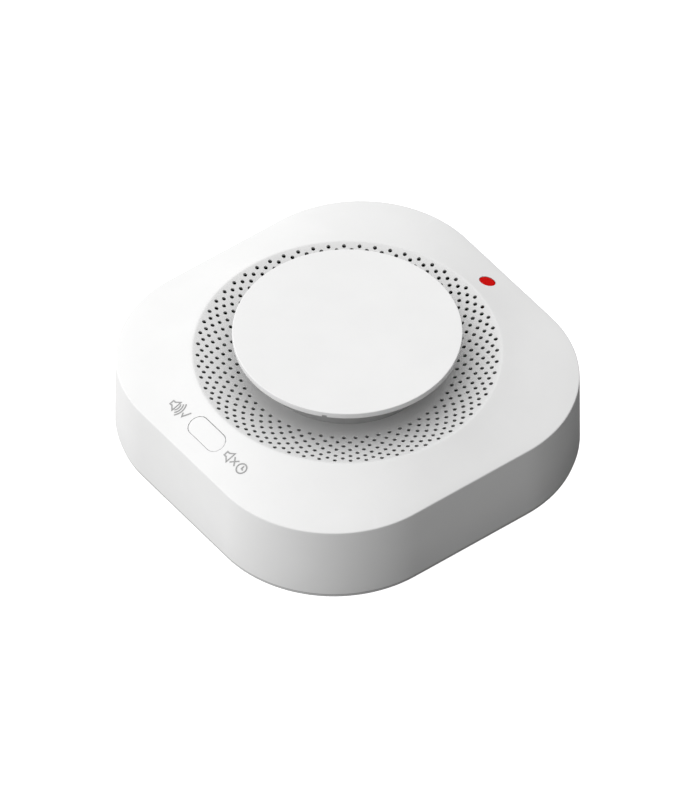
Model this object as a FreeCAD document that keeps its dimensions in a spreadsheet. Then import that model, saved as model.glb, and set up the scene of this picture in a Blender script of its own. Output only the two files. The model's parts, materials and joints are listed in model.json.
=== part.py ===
import FreeCAD, Part
import Sketcher
import math
import os

# A battery smoke alarm, 100 mm square and 35 mm deep, drawn as it lies on its back.
# The origin is the middle of the bracket's back face, which goes against the ceiling. +Z points
# out of that face towards the disc, the test button is on the -Y side and the indicator on +Y.

DIMENSIONS = {
    # housing
    "half_side": 50.0, "corner_radius": 32.7, "wall_draft": 0.29, "edge_height": 22.7,
    "cover_bottom": 1.5, "wall": 2.0, "top_drop": 2.1, "rim_radius": 38.0, "slope_rise": 4.85,
    "dish_depth": 2.88, "dish_flat_radius": 19.1, "dish_thickness": 0.8, "neck_opening": 21.0,
    # holes of the dish: the rings stand closer towards the rim
    "hole_radius": 0.5, "outer_ring_radius": 36.68, "ring_step": 1.02, "ring_step_growth": 0.117,
    # fits that several pieces share
    "clearance": 0.1, "press_gap": 0.05, "screw_fit": 0.02, "cut_past": 1.0,
    # rear cover
    "rear_bottom": 0.42, "rear_inset": 0.35, "rear_step": 1.45, "rear_plate_top": 2.6,
    "lip_gap": 0.15, "recess_radius": 42.6, "recess_wall_radius": 44.4, "recess_ceiling": 3.4,
    "floor_top": 5.0,
    # bracket
    "bracket_radius": 42.0, "window_radius": 30.2, "bracket_top": 3.0, "bracket_plate_bottom": 1.5,
    "outer_rim_radius": 40.4, "inner_rim_radius": 31.6, "slot_place": 36.0, "slot_half_width": 2.1,
    "slot_length": 7.0, "boss_half_width": 4.2, "boss_length": 9.4,
    "track_inner": 35.0, "track_outer": 37.4, "entry_inner": 33.2, "entry_outer": 39.4,
    "stem_inner": 35.3, "stem_outer": 37.1, "foot_inner": 33.6, "foot_outer": 39.0,
    "foot_bottom": 0.3, "foot_top": 1.2,
    # battery bay and door
    "bay_half_length": 25.4, "bay_half_width": 11.5, "bay_wall": 1.4, "bay_bottom": 0.6,
    "bay_ceiling": 13.4, "bay_roof_top": 14.6, "door_gap": 0.2, "door_thickness": 1.4,
    "door_axis_z": 1.45, "door_axis_from_wall": 1.0, "pin_radius": 0.5, "pin_hole_radius": 0.55,
    "pin_length": 1.2, "tab_half_width": 4.0, "tab_length": 1.3,
    "cell_radius": 5.25, "cell_length": 43.3, "cell_bevel": 0.4, "nub_radius": 1.9,
    "nub_length": 1.1,
    "cell_pitch": 11.1, "cell_axis_z": 7.9, "contact_thickness": 0.3,
    "contact_gap": 0.15, "contact_height": 9.0, "contact_width": 8.0, "tail_half_width": 1.0,
    "tail_room": 0.2, "tail_slot_half": 0.4, "tail_rise": 0.4, "spring_radius": 3.0,
    "spring_wire": 0.25,
    "spring_pitch": 0.9, "spring_length": 2.1,
    # circuit board
    "board_bottom": 15.0, "board_thickness": 1.6, "board_half": 46.8, "board_corner": 32.0,
    "screw_place": 35.36, "screw_boss_radius": 3.0, "boss_notch_radius": 4.2,
    "screw_radius": 1.25, "screw_head_radius": 2.3, "screw_tip": 12.0, "head_height": 1.4,
    "recess_length": 2.0, "recess_width": 0.5, "head_room": 0.3, "shank_room": 0.2,
    "rear_boss_top": 4.4, "rear_boss_radius": 3.6, "head_seat": 2.42, "cover_boss_bottom": 4.6,
    "post_radius": 2.5, "board_screw_radius": 1.0, "board_head_radius": 1.9,
    "board_screw_tip": 8.0, "leg_width": 0.4, "leg_length": 1.0, "leg_height": 0.5,
    "inductor_radius": 3.2, "inductor_height": 3.0, "can_radius": 3.15, "can_height": 5.4,
    "crystal_length": 10.5, "crystal_width": 4.4, "crystal_height": 3.4,
    "led_length": 3.2, "led_width": 2.8, "led_height": 1.9,
    "small_length": 1.6, "small_width": 0.8, "resistor_height": 0.5, "small_pitch": 3.0,
    "radio_x": 35.5, "radio_y": -2.0, "radio_length": 18.0, "radio_width": 22.0,
    "radio_thickness": 0.8, "shield_side": 14.0, "shield_height": 2.2, "shield_wall": 0.3,
    "shield_shift": 2.0,
    # neck, disc and smoke chamber
    "neck_radius": 22.0, "neck_inner": 20.1, "neck_skirt": 20.8, "skirt_bottom": 21.8,
    "neck_seat": 24.76, "neck_top": 33.0, "window_bottom": 27.5, "window_top": 31.9,
    "window_width": 5.0, "disc_radius": 28.19, "disc_bottom": 33.06, "disc_edge": 34.66,
    "disc_crown": 0.44, "disc_chamfer": 0.15, "notch_width": 1.0, "notch_height": 0.4,
    "notch_depth": 0.8, "spigot_outer": 20.0, "spigot_inner": 18.6,
    "spigot_bottom": 32.35, "chamber_radius": 19.0, "chamber_floor": 17.3, "chamber_plate": 1.4,
    "vane_top": 30.9, "vane_length": 4.6, "vane_thickness": 0.8, "vane_place": 15.6,
    "chamber_cover_top": 32.2, "screen_inner": 19.25, "screen_outer": 19.55, "screen_top": 30.8,
    "screen_slot_width": 1.1, "screen_margin": 1.0, "optic_radius": 1.5, "optic_length": 4.2,
    "optic_z": 24.0, "optic_back": 12.4, "optic_rest_place": 9.8, "lead_spread": 0.75,
    "lead_radius": 0.25, "lead_hole_radius": 0.4, "screen_ledge": 0.3, "cover_skirt": 1.2,
    "skirt_wall": 0.6, "gasket_inner": 17.0,
    # button, switch and indicator
    "button_place": 43.0, "button_length": 12.0, "button_width": 4.9, "button_gap": 0.2,
    "guide_wall": 1.0, "guide_bottom": 21.6, "flange_top": 21.5, "flange_bottom": 20.65,
    "switch_side": 6.0, "switch_base_top": 19.2, "switch_cavity_floor": 18.0,
    "switch_cavity_radius": 2.4, "frame_thickness": 0.25, "plunger_radius": 1.75,
    "plunger_flange_radius": 2.25, "plunger_flange": 0.4, "plunger_bottom": 18.75,
    "plunger_top": 20.6, "plunger_fit": 0.06, "dome_thickness": 0.15,
    "indicator_place": 43.3, "lens_radius": 2.0, "lens_fit": 0.04, "lens_flange_radius": 2.8,
    "lens_bottom": 19.2, "lens_flange_top": 20.4,
    # sounder
    "sounder_x": -20.0, "sounder_y": 26.0, "sounder_radius": 12.0, "sounder_bottom": 5.1,
    "sounder_height": 9.0, "terminal_radius": 0.35, "sounder_wall": 1.2, "piezo_radius": 10.3,
    "piezo_z": 9.5, "piezo_thickness": 0.25, "sounder_floor": 1.0, "sounder_lid": 1.5,
    "terminal_depth": 4.0,
}

DISH_RINGS = 8
HOLES_IN_A_RING = 60
NECK_WINDOWS = 20
LABYRINTH_VANES = 24
SCREEN_SLOTS = 60
BAYONET_HOOKS = 4
HOOK_ANGLE = 45.0  # degrees round from +X to the first hook
TWIST = 15.0  # degrees from locked to free
HOOK_SWEEP = 6.0  # degrees that one hook takes
TRACK_MARGIN = 1.5  # degrees of play past a hook's ends
VANE_LEAN = 50.0  # degrees that a vane is turned out of the radial
OPTIC_ANGLE, OPTIC_SPREAD = 30.0, 120.0  # degrees to the emitter, and on to the photodiode
NOTCH_ANGLE = -48.65  # degrees round to the notch that lifts the disc off
BOARD_POSTS = ((34.0, -20.0), (-34.0, -20.0), (38.0, 14.0), (-38.0, 14.0))
CAPACITOR_CANS = ((-14.0, -36.0), (-22.0, -32.5))
INDUCTOR_PLACE = (14.0, -36.0)
CRYSTAL_PLACE = (24.0, 35.0)
RESISTOR_CORNER, RESISTOR_COLUMNS, RESISTOR_ROWS = (-40.0, -6.0), 5, 3
CAPACITOR_CORNER, CAPACITOR_COLUMNS, CAPACITOR_ROWS = (18.0, -33.0), 4, 2
CHIPS = {  # length, width, height, x, y, legs along a side, pitch of the legs
    "microcontroller": (7.0, 7.0, 1.0, 24.0, 26.0, 8, 0.8),
    "detector_chip": (10.0, 4.0, 1.5, 12.0, 34.0, 8, 1.27),
    "booster_chip": (5.0, 4.0, 1.5, -24.0, -24.0, 4, 1.27),
}

doc = FreeCAD.newDocument("SmokeAlarm")
sheet = doc.addObject("Spreadsheet::Sheet", "Sizes")
for row, (alias, number) in enumerate(DIMENSIONS.items(), start=1):
    sheet.set(f"A{row}", alias)
    sheet.set(f"B{row}", str(number))
    sheet.setAlias(f"B{row}", alias)
doc.recompute()


class Size:
    """A length: its number, and the formula that binds a property to the sheet's cells."""

    def __init__(self, number, formula):
        self.number = number
        self.formula = formula

    def __add__(self, other):
        other = as_size(other)
        return Size(self.number + other.number, f"({self.formula} + {other.formula})")

    def __sub__(self, other):
        other = as_size(other)
        return Size(self.number - other.number, f"({self.formula} - {other.formula})")

    def __mul__(self, other):
        other = as_size(other)
        return Size(self.number * other.number, f"({self.formula} * {other.formula})")

    def __truediv__(self, other):
        other = as_size(other)
        return Size(self.number / other.number, f"({self.formula} / {other.formula})")

    def __neg__(self):
        return self * -1

    def __radd__(self, other):
        return as_size(other) + self

    def __rsub__(self, other):
        return as_size(other) - self

    def __rmul__(self, other):
        return as_size(other) * self


def as_size(value):
    return value if isinstance(value, Size) else Size(float(value), f"({float(value):.6f})")


def size(alias):
    """One driving dimension, read back from the sheet."""
    return Size(float(sheet.get(alias)), f"Sizes.{alias}")


def bind(thing, name, value):
    """Binds one property, or a part of one, to the sheet."""
    thing.setExpression(name, as_size(value).formula)


# Sketches: every size in them is a constraint bound to the sheet.

ORIGIN = -1  # the sketcher's number for the sketch's own origin point and X axis
START, END, CENTRE = 1, 2, 3  # the sketcher's numbers for a curve's points


def new_body(label):
    body = doc.addObject("PartDesign::Body", label)
    body.Label = label
    return body


def origin_feature(body, role):
    return next(feature for feature in body.Origin.OriginFeatures if feature.Role == role)


def new_sketch(body, plane="XY_Plane", height=0, turn=0.0):
    """A sketch on one of the body's own planes, raised along its normal, and turned about Z."""
    sketch = body.newObject("Sketcher::SketchObject", f"{body.Label}_sketch")
    sketch.AttachmentSupport = [(origin_feature(body, plane), "")]
    sketch.MapMode = "FlatFace"
    about = FreeCAD.Vector(0, 1, 0) if plane == "XZ_Plane" else FreeCAD.Vector(0, 0, 1)
    sketch.AttachmentOffset = FreeCAD.Placement(FreeCAD.Vector(), FreeCAD.Rotation(about, turn))
    bind(sketch, "AttachmentOffset.Base.z", height)
    return sketch


def constrain(sketch, kind, *where, value=None):
    """Adds one constraint; one with a value is bound to the sheet."""
    if value is None:
        return sketch.addConstraint(Sketcher.Constraint(kind, *where))
    index = sketch.addConstraint(Sketcher.Constraint(kind, *where, as_size(value).number))
    bind(sketch, f"Constraints[{index}]", value)
    return index


def place_point(sketch, curve, point, x, y):
    constrain(sketch, "DistanceX", ORIGIN, START, curve, point, value=x)
    constrain(sketch, "DistanceY", ORIGIN, START, curve, point, value=y)


def add_circle(sketch, radius, x=0, y=0):
    centre = FreeCAD.Vector(as_size(x).number, as_size(y).number, 0)
    up = FreeCAD.Vector(0, 0, 1)
    curve = sketch.addGeometry(Part.Circle(centre, up, as_size(radius).number), False)
    constrain(sketch, "Radius", curve, value=radius)
    place_point(sketch, curve, CENTRE, x, y)


def add_outline(sketch, corners):
    """A closed outline of straight lines through corners, each an (x, y) pair."""
    spots = [FreeCAD.Vector(as_size(x).number, as_size(y).number, 0) for x, y in corners]
    lines = [
        sketch.addGeometry(Part.LineSegment(spot, following), False)
        for spot, following in zip(spots, spots[1:] + spots[:1])
    ]
    for line, following in zip(lines, lines[1:] + lines[:1]):
        constrain(sketch, "Coincident", line, END, following, START)
    for line, (x, y) in zip(lines, corners):
        place_point(sketch, line, START, x, y)


def add_rectangle(sketch, left, right, bottom, top):
    add_outline(sketch, [(left, bottom), (right, bottom), (right, top), (left, top)])


def add_arc_outline(sketch, corners, arc_centre):
    """A closed outline of lines whose last stretch, back to the first corner, is an arc."""
    spots = [FreeCAD.Vector(as_size(x).number, as_size(y).number, 0) for x, y in corners]
    hub = FreeCAD.Vector(as_size(arc_centre[0]).number, as_size(arc_centre[1]).number, 0)
    lines = [
        sketch.addGeometry(Part.LineSegment(spot, following), False)
        for spot, following in zip(spots, spots[1:])
    ]
    reach = spots[-1] - hub
    middle = hub + (reach + (spots[0] - hub)).normalize() * reach.Length
    arc = sketch.addGeometry(Part.Arc(spots[-1], middle, spots[0]), False)
    starts_at_last = (sketch.getPoint(arc, START) - spots[-1]).Length < 1e-6
    first, last = (START, END) if starts_at_last else (END, START)
    for line, following in zip(lines, lines[1:]):
        constrain(sketch, "Coincident", line, END, following, START)
    constrain(sketch, "Coincident", lines[-1], END, arc, first)
    constrain(sketch, "Coincident", lines[0], START, arc, last)
    for line, (x, y) in zip(lines, corners):
        place_point(sketch, line, START, x, y)
    place_point(sketch, arc, CENTRE, *arc_centre)


def add_rounded_square(sketch, half, radius):
    reach = half - radius
    corners = []
    for turn, (side_x, side_y) in enumerate(((1, 1), (-1, 1), (-1, -1), (1, -1))):
        hub = FreeCAD.Vector(side_x, side_y, 0) * reach.number
        circle = Part.Circle(hub, FreeCAD.Vector(0, 0, 1), radius.number)
        start = turn * math.pi / 2
        arc = Part.ArcOfCircle(circle, start, start + math.pi / 2)
        corners.append(sketch.addGeometry(arc, False))
    for turn, corner in enumerate(corners):
        following = corners[(turn + 1) % 4]
        line = sketch.addGeometry(
            Part.LineSegment(sketch.getPoint(corner, END), sketch.getPoint(following, START)), False
        )
        constrain(sketch, "Tangent", corner, END, line, START)
        constrain(sketch, "Tangent", line, END, following, START)
        constrain(sketch, "Vertical" if turn % 2 else "Horizontal", line)
        if turn:
            constrain(sketch, "Equal", corners[0], corner)
    constrain(sketch, "Radius", corners[0], value=radius)
    place_point(sketch, corners[0], CENTRE, reach, reach)
    place_point(sketch, corners[2], CENTRE, -reach, -reach)


def add_stadium(sketch, length, width, x=0, y=0, turn=0):
    """Two half circles joined by two lines; turn is 0 along X and 1 along Y."""
    reach = (length - width) / 2
    radius = as_size(width / 2).number
    up = FreeCAD.Vector(0, 0, 1)
    ends = []
    for side in (1, -1):
        hub_x = x + reach * side * (1 - turn)
        hub_y = y + reach * side * turn
        hub = FreeCAD.Vector(as_size(hub_x).number, as_size(hub_y).number, 0)
        start = (turn - side) * math.pi / 2
        arc = Part.ArcOfCircle(Part.Circle(hub, up, radius), start, start + math.pi)
        ends.append((sketch.addGeometry(arc, False), hub_x, hub_y))
    for one, other in ((0, 1), (1, 0)):
        begin, finish = ends[one][0], ends[other][0]
        line = sketch.addGeometry(
            Part.LineSegment(sketch.getPoint(begin, END), sketch.getPoint(finish, START)), False
        )
        constrain(sketch, "Tangent", begin, END, line, START)
        constrain(sketch, "Tangent", line, END, finish, START)
    constrain(sketch, "Radius", ends[0][0], value=width / 2)
    for arc, hub_x, hub_y in ends:
        place_point(sketch, arc, CENTRE, hub_x, hub_y)


# Features.


def pad(body, sketch, length):
    feature = body.newObject("PartDesign::Pad", f"{body.Label}_pad")
    feature.Profile = sketch
    bind(feature, "Length", length)
    doc.recompute()
    return feature


def pad_to_first(body, sketch):
    """A pad that grows until it meets the body."""
    feature = body.newObject("PartDesign::Pad", f"{body.Label}_pad")
    feature.Profile = sketch
    feature.Type = "UpToFirst"
    doc.recompute()
    return feature


def pocket(body, sketch, depth=None, upward=True):
    """Cuts the sketch through the body, or to a depth; upward is along the sketch's normal."""
    before = body.Shape.Volume
    feature = body.newObject("PartDesign::Pocket", f"{body.Label}_pocket")
    feature.Profile = sketch
    feature.Reversed = upward
    if depth is None:
        feature.Type = "ThroughAll"
    else:
        bind(feature, "Length", depth)
    doc.recompute()
    if not body.Shape.Volume < before:
        raise ValueError(f"a pocket of {body.Label} cuts nothing")
    return feature


def loft(body, kind, sketches):
    feature = body.newObject(f"PartDesign::{kind}Loft", f"{body.Label}_loft")
    feature.Profile = sketches[0]
    feature.Sections = sketches[1:]
    feature.Ruled = True
    doc.recompute()
    return feature


def spin(body, kind, sketch, angle=360.0):
    """A Revolution or a Groove about Z; less than a full turn is centred on the sketch."""
    feature = body.newObject(f"PartDesign::{kind}", f"{body.Label}_{kind.lower()}")
    feature.Profile = sketch
    feature.ReferenceAxis = (origin_feature(body, "Z_Axis"), [""])
    feature.Angle = angle
    feature.Midplane = angle < 360
    doc.recompute()
    return feature


def polar(body, features, count):
    feature = body.newObject("PartDesign::PolarPattern", f"{body.Label}_pattern")
    feature.Originals = features
    feature.Axis = (origin_feature(body, "Z_Axis"), [""])
    feature.Angle = 360
    feature.Occurrences = count
    body.Tip = feature
    doc.recompute()
    return feature


def ring(body, inner, outer, bottom, top):
    """An upright tube, or a disc where inner is None."""
    sketch = new_sketch(body, height=bottom)
    add_circle(sketch, outer)
    if inner is not None:
        add_circle(sketch, inner)
    return pad(body, sketch, top - bottom)


def ring_sector(body, kind, inner, outer, bottom, top, middle, sweep):
    """A piece of an upright tube, centred on the direction middle, or its cut."""
    sketch = new_sketch(body, "XZ_Plane", turn=middle)
    add_rectangle(sketch, inner, outer, bottom, top)
    return spin(body, kind, sketch, sweep)


# Plain solids for the pieces that are simple blocks, pins and cans.


def box(name, length, width, height, x=0, y=0, z=0):
    """A block centred on x and y, standing on z."""
    block = doc.addObject("Part::Box", name)
    bind(block, "Length", length)
    bind(block, "Width", width)
    bind(block, "Height", height)
    bind(block, "Placement.Base.x", x - as_size(length) / 2)
    bind(block, "Placement.Base.y", y - as_size(width) / 2)
    bind(block, "Placement.Base.z", z)
    return block


def cylinder(name, radius, height, x=0, y=0, z=0):
    rod = doc.addObject("Part::Cylinder", name)
    bind(rod, "Radius", radius)
    bind(rod, "Height", height)
    bind(rod, "Placement.Base.x", x)
    bind(rod, "Placement.Base.y", y)
    bind(rod, "Placement.Base.z", z)
    return rod


def fuse(name, pieces):
    joined = doc.addObject("Part::MultiFuse", name)
    joined.Shapes = pieces
    joined.Label = name
    return joined


def group(name, pieces):
    """Separate solids kept together as one node."""
    together = doc.addObject("Part::Compound", name)
    together.Links = pieces
    together.Label = name
    return together


def cut(name, base, tool):
    rest = doc.addObject("Part::Cut", name)
    rest.Base = base
    rest.Tool = tool
    rest.Label = name
    return rest


# The outer form that the cover, the button and the lens share.

EDGE = size("edge_height")
RIM = EDGE + size("slope_rise")
DISH_FLOOR = RIM - size("dish_depth")
DISH_RUN = size("rim_radius") - size("dish_flat_radius")
DISH_ARC = (DISH_RUN * DISH_RUN + size("dish_depth") * size("dish_depth")) / (size("dish_depth") * 2)
BOARD_TOP = size("board_bottom") + size("board_thickness")


def add_envelope(body, bottom):
    """The solid under the sloped top: straight walls, then the slope up to the dish's rim."""
    sections = []
    for height, outward in ((bottom, size("wall_draft")), (EDGE, 0)):
        sketch = new_sketch(body, height=height)
        add_rounded_square(sketch, size("half_side") + outward, size("corner_radius") + outward)
        sections.append(sketch)
    loft(body, "Additive", sections)
    rim = new_sketch(body, height=RIM)
    add_circle(rim, size("rim_radius"))
    loft(body, "Additive", [sections[1], rim])


def make_front_cover():
    body = new_body("front_cover")
    bottom = size("cover_bottom")
    add_envelope(body, bottom)
    hollow_cover(body, bottom)
    carve_dish(body)
    open_button_and_lens(body)
    add_screw_bosses(body)
    drill_dish(body)
    return body


def hollow_cover(body, bottom):
    wall = size("wall")
    slope_run = size("half_side") - size("rim_radius")
    inner_edge = EDGE + size("slope_rise") * wall / slope_run - size("top_drop")
    sections = []
    for height, outward in ((bottom, size("wall_draft")), (inner_edge, 0)):
        sketch = new_sketch(body, height=height)
        half = size("half_side") - wall + outward
        add_rounded_square(sketch, half, size("corner_radius") - wall + outward)
        sections.append(sketch)
    loft(body, "Subtractive", sections)
    under_rim = new_sketch(body, height=RIM - size("top_drop"))
    add_circle(under_rim, size("rim_radius"))
    loft(body, "Subtractive", [sections[1], under_rim])


def carve_dish(body):
    """Cuts the dish through the flat middle, then lays its floor back in."""
    rim, flat = size("rim_radius"), size("dish_flat_radius")
    hub = (flat, DISH_FLOOR + DISH_ARC)
    above = new_sketch(body, "XZ_Plane")
    above_all = RIM + size("cut_past")
    corners = [(rim, RIM), (rim, above_all), (0, above_all), (0, DISH_FLOOR), (flat, DISH_FLOOR)]
    add_arc_outline(above, corners, hub)
    spin(body, "Groove", above)
    opening, thick = size("neck_opening"), size("dish_thickness")
    floor = new_sketch(body, "XZ_Plane")
    add_dish_section(floor, opening, rim, thick)
    spin(body, "Revolution", floor)


def add_dish_section(sketch, inner, outer, thick):
    """The dish's floor in section: two equal arcs, one above the other, and two upright ends."""
    flat, reach = size("dish_flat_radius"), DISH_ARC.number
    arcs = []
    for drop in (thick, 0):
        hub_height = DISH_FLOOR + DISH_ARC - drop
        hub = FreeCAD.Vector(flat.number, hub_height.number, 0)
        start = math.asin((inner - flat).number / reach) - math.pi / 2
        end = math.asin((outer - flat).number / reach) - math.pi / 2
        circle = Part.Circle(hub, FreeCAD.Vector(0, 0, 1), reach)
        arc = sketch.addGeometry(Part.ArcOfCircle(circle, start, end), False)
        place_point(sketch, arc, CENTRE, flat, hub_height)
        constrain(sketch, "Radius", arc, value=DISH_ARC)
        constrain(sketch, "DistanceX", ORIGIN, START, arc, START, value=inner)
        constrain(sketch, "DistanceX", ORIGIN, START, arc, END, value=outer)
        arcs.append(arc)
    lower, upper = arcs
    for point in (START, END):
        ends = sketch.getPoint(lower, point), sketch.getPoint(upper, point)
        line = sketch.addGeometry(Part.LineSegment(*ends), False)
        constrain(sketch, "Coincident", line, START, lower, point)
        constrain(sketch, "Coincident", line, END, upper, point)


def open_button_and_lens(body):
    """A guide sleeve and an opening for the button, and a round hole for the lens."""
    place = -size("button_place")
    gap = size("button_gap") * 2
    length, width = size("button_length") + gap, size("button_width") + gap
    sleeve = new_sketch(body, height=size("guide_bottom"))
    guide = size("guide_wall") * 2
    add_stadium(sleeve, length + guide, width + guide, 0, place)
    pad_to_first(body, sleeve)
    opening = new_sketch(body)
    add_stadium(opening, length, width, 0, place)
    pocket(body, opening)
    lens = new_sketch(body)
    add_circle(lens, size("lens_radius") + size("lens_fit"), 0, size("indicator_place"))
    pocket(body, lens)


def add_screw_bosses(body):
    place = size("screw_place")
    boss = new_sketch(body, height=size("cover_boss_bottom"))
    add_circle(boss, size("screw_boss_radius"), place, place)
    grown = pad_to_first(body, boss)
    bore = new_sketch(body, height=size("cover_boss_bottom"))
    add_circle(bore, size("screw_radius") + size("screw_fit"), place, place)
    depth = size("screw_tip") - size("cover_boss_bottom") + size("cut_past")
    drilled = pocket(body, bore, depth)
    polar(body, [grown, drilled], 4)


def drill_dish(body):
    """Rings of round holes; every second ring is turned by half a pitch."""
    sketch = new_sketch(body)
    half_pitch = math.pi / HOLES_IN_A_RING
    radius, step = size("outer_ring_radius"), size("ring_step")
    for index in range(DISH_RINGS):
        turn = half_pitch * (index % 2)
        add_circle(sketch, size("hole_radius"), radius * math.cos(turn), radius * math.sin(turn))
        radius = radius - step
        step = step + size("ring_step_growth")
    holes = pocket(body, sketch)
    polar(body, [holes], HOLES_IN_A_RING)


def keep_only(body, draw):
    """Cuts away everything outside the outline that draw adds."""
    around = new_sketch(body)
    add_circle(around, size("half_side") * 2)
    draw(around)
    pocket(body, around)


def make_test_button():
    """Its top follows the cover's slope, and a flange under the cover keeps it in."""
    body = new_body("test_button")
    bottom, place = size("flange_bottom"), -size("button_place")
    length, width = size("button_length"), size("button_width")
    add_envelope(body, bottom)
    keep_only(body, lambda sketch: add_stadium(sketch, length, width, 0, place))
    flange = new_sketch(body, height=bottom)
    brim = size("guide_wall") * 2
    add_stadium(flange, length + brim, width + brim, 0, place)
    pad(body, flange, size("flange_top") - bottom)


def make_led_lens():
    body = new_body("led_lens")
    bottom, place = size("lens_bottom"), size("indicator_place")
    add_envelope(body, bottom)
    keep_only(body, lambda sketch: add_circle(sketch, size("lens_radius"), 0, place))
    flange = new_sketch(body, height=bottom)
    add_circle(flange, size("lens_flange_radius"), 0, place)
    pad(body, flange, size("lens_flange_top") - bottom)


# Disc, neck and smoke chamber.


def make_disc_cap():
    """A crowned disc with a locating ring under it and a small notch to lift it by."""
    body = new_body("disc_cap")
    radius, bottom, edge = size("disc_radius"), size("disc_bottom"), size("disc_edge")
    crown, chamfer = size("disc_crown"), size("disc_chamfer")
    crown_arc = (radius * radius + crown * crown) / (crown * 2)
    outline = new_sketch(body, "XZ_Plane")
    corners = [
        (0, edge + crown),
        (0, bottom),
        (radius - chamfer, bottom),
        (radius, bottom + chamfer),
        (radius, edge),
    ]
    add_arc_outline(outline, corners, (0, edge + crown - crown_arc))
    spin(body, "Revolution", outline)
    ring(body, size("spigot_inner"), size("spigot_outer"), size("spigot_bottom"), bottom)
    ring_sector(
        body, "Groove", radius - size("notch_depth"), radius + size("cut_past"),
        bottom - size("cut_past"), bottom + size("notch_height"), NOTCH_ANGLE, notch_sweep(),
    )


def notch_sweep():
    """Degrees of the disc's rim that the notch takes."""
    return math.degrees(size("notch_width").number / size("disc_radius").number)


def make_inlet_ring():
    """The neck under the disc: smoke enters through its windows."""
    body = new_body("inlet_ring")
    ring(body, size("neck_inner"), size("neck_radius"), size("neck_seat"), size("neck_top"))
    ring(body, size("neck_inner"), size("neck_skirt"), size("skirt_bottom"), size("neck_seat"))
    window = new_sketch(body, "YZ_Plane")
    half = size("window_width") / 2
    add_rectangle(window, -half, half, size("window_bottom"), size("window_top"))
    polar(body, [pocket(body, window)], NECK_WINDOWS)


def make_insect_screen():
    """A thin sleeve with fine upright slots, too narrow for an insect."""
    body = new_body("insect_screen")
    bottom = size("chamber_floor") + size("chamber_plate") / 2 + size("clearance")
    top = size("screen_top")
    ring(body, size("screen_inner"), size("screen_outer"), bottom, top)
    slot = new_sketch(body, "YZ_Plane")
    half, margin = size("screen_slot_width") / 2, size("screen_margin")
    add_rectangle(slot, -half, half, bottom + margin, top - margin)
    polar(body, [pocket(body, slot)], SCREEN_SLOTS)


def optic_direction(index):
    """The emitter and the photodiode look at the middle from 120 degrees apart."""
    angle = math.radians(OPTIC_ANGLE + OPTIC_SPREAD * index)
    return math.cos(angle), math.sin(angle)


def lead_places():
    """Where the two optics' leads go down through the base and the board."""
    back, spread = size("optic_back"), size("lead_spread")
    for index in range(2):
        along_x, along_y = optic_direction(index)
        for side in (-1, 1):
            x = back * along_x - spread * (side * along_y)
            y = back * along_y + spread * (side * along_x)
            yield index, x, y


def make_labyrinth_base():
    body = new_body("labyrinth_base")
    floor, plate = size("chamber_floor"), size("chamber_plate")
    ring(body, None, size("screen_outer") + size("screen_ledge"), floor, floor + plate / 2)
    ring(body, None, size("chamber_radius"), floor + plate / 2, floor + plate)
    vane = new_sketch(body, height=floor + plate)
    add_outline(vane, vane_corners())
    polar(body, [pad(body, vane, size("vane_top") - floor - plate)], LABYRINTH_VANES)
    for index in range(2):
        along_x, along_y = optic_direction(index)
        rest = new_sketch(body, height=floor + plate)
        place, radius = size("optic_rest_place"), size("optic_radius")
        add_circle(rest, radius, place * along_x, place * along_y)
        pad(body, rest, size("optic_z") - radius - size("clearance") - floor - plate)
    holes = new_sketch(body)
    for _, x, y in lead_places():
        add_circle(holes, size("lead_hole_radius"), x, y)
    pocket(body, holes)


def vane_corners():
    """A straight vane, turned out of the radial so that no light goes straight in."""
    place, half_length = size("vane_place"), size("vane_length") / 2
    half_thick = size("vane_thickness") / 2
    lean = math.radians(VANE_LEAN)
    corners = []
    for along, across in ((-1, -1), (1, -1), (1, 1), (-1, 1)):
        x = place + half_length * (along * math.cos(lean)) - half_thick * (across * math.sin(lean))
        y = half_length * (along * math.sin(lean)) + half_thick * (across * math.cos(lean))
        corners.append((x, y))
    return corners


def make_labyrinth_cover():
    body = new_body("labyrinth_cover")
    radius, vanes = size("chamber_radius"), size("vane_top")
    roof = vanes + size("clearance")
    ring(body, None, radius, roof, size("chamber_cover_top"))
    ring(body, radius - size("skirt_wall"), radius, vanes - size("cover_skirt"), roof)


def make_chamber_gasket():
    body = new_body("chamber_gasket")
    gap = size("press_gap")
    bottom, top = BOARD_TOP + gap, size("chamber_floor") - gap
    ring(body, size("gasket_inner"), size("chamber_radius"), bottom, top)


def make_optic(label, index):
    """A round-nosed optical package lying flat, with two leads down into the board."""
    length, radius, height = size("optic_length"), size("optic_radius"), size("optic_z")
    along_x, along_y = optic_direction(index)
    angle = math.degrees(math.atan2(along_y, along_x))
    back = size("optic_back")
    tip = back - length
    barrel = cylinder(f"{label}_barrel", radius, length)
    barrel.Placement.Rotation = FreeCAD.Rotation(angle, 90, 0)
    bind(barrel, "Placement.Base.x", tip * along_x)
    bind(barrel, "Placement.Base.y", tip * along_y)
    bind(barrel, "Placement.Base.z", height)
    nose = doc.addObject("Part::Sphere", f"{label}_nose")
    bind(nose, "Radius", radius)
    bind(nose, "Placement.Base.x", tip * along_x)
    bind(nose, "Placement.Base.y", tip * along_y)
    bind(nose, "Placement.Base.z", height)
    pieces = [barrel, nose]
    for side, (which, x, y) in enumerate(lead_places()):
        if which == index:
            bottom = size("board_bottom")
            pieces.append(
                cylinder(f"{label}_lead{side}", size("lead_radius"), height - bottom, x, y, bottom)
            )
    fuse(label, pieces)


# Rear cover, bracket and battery door.


def make_rear_cover():
    body = new_body("rear_cover")
    add_rear_plate(body)
    add_battery_bay(body)
    add_bayonet_hooks(body)
    add_rear_bosses(body)
    add_board_posts(body)


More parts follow.
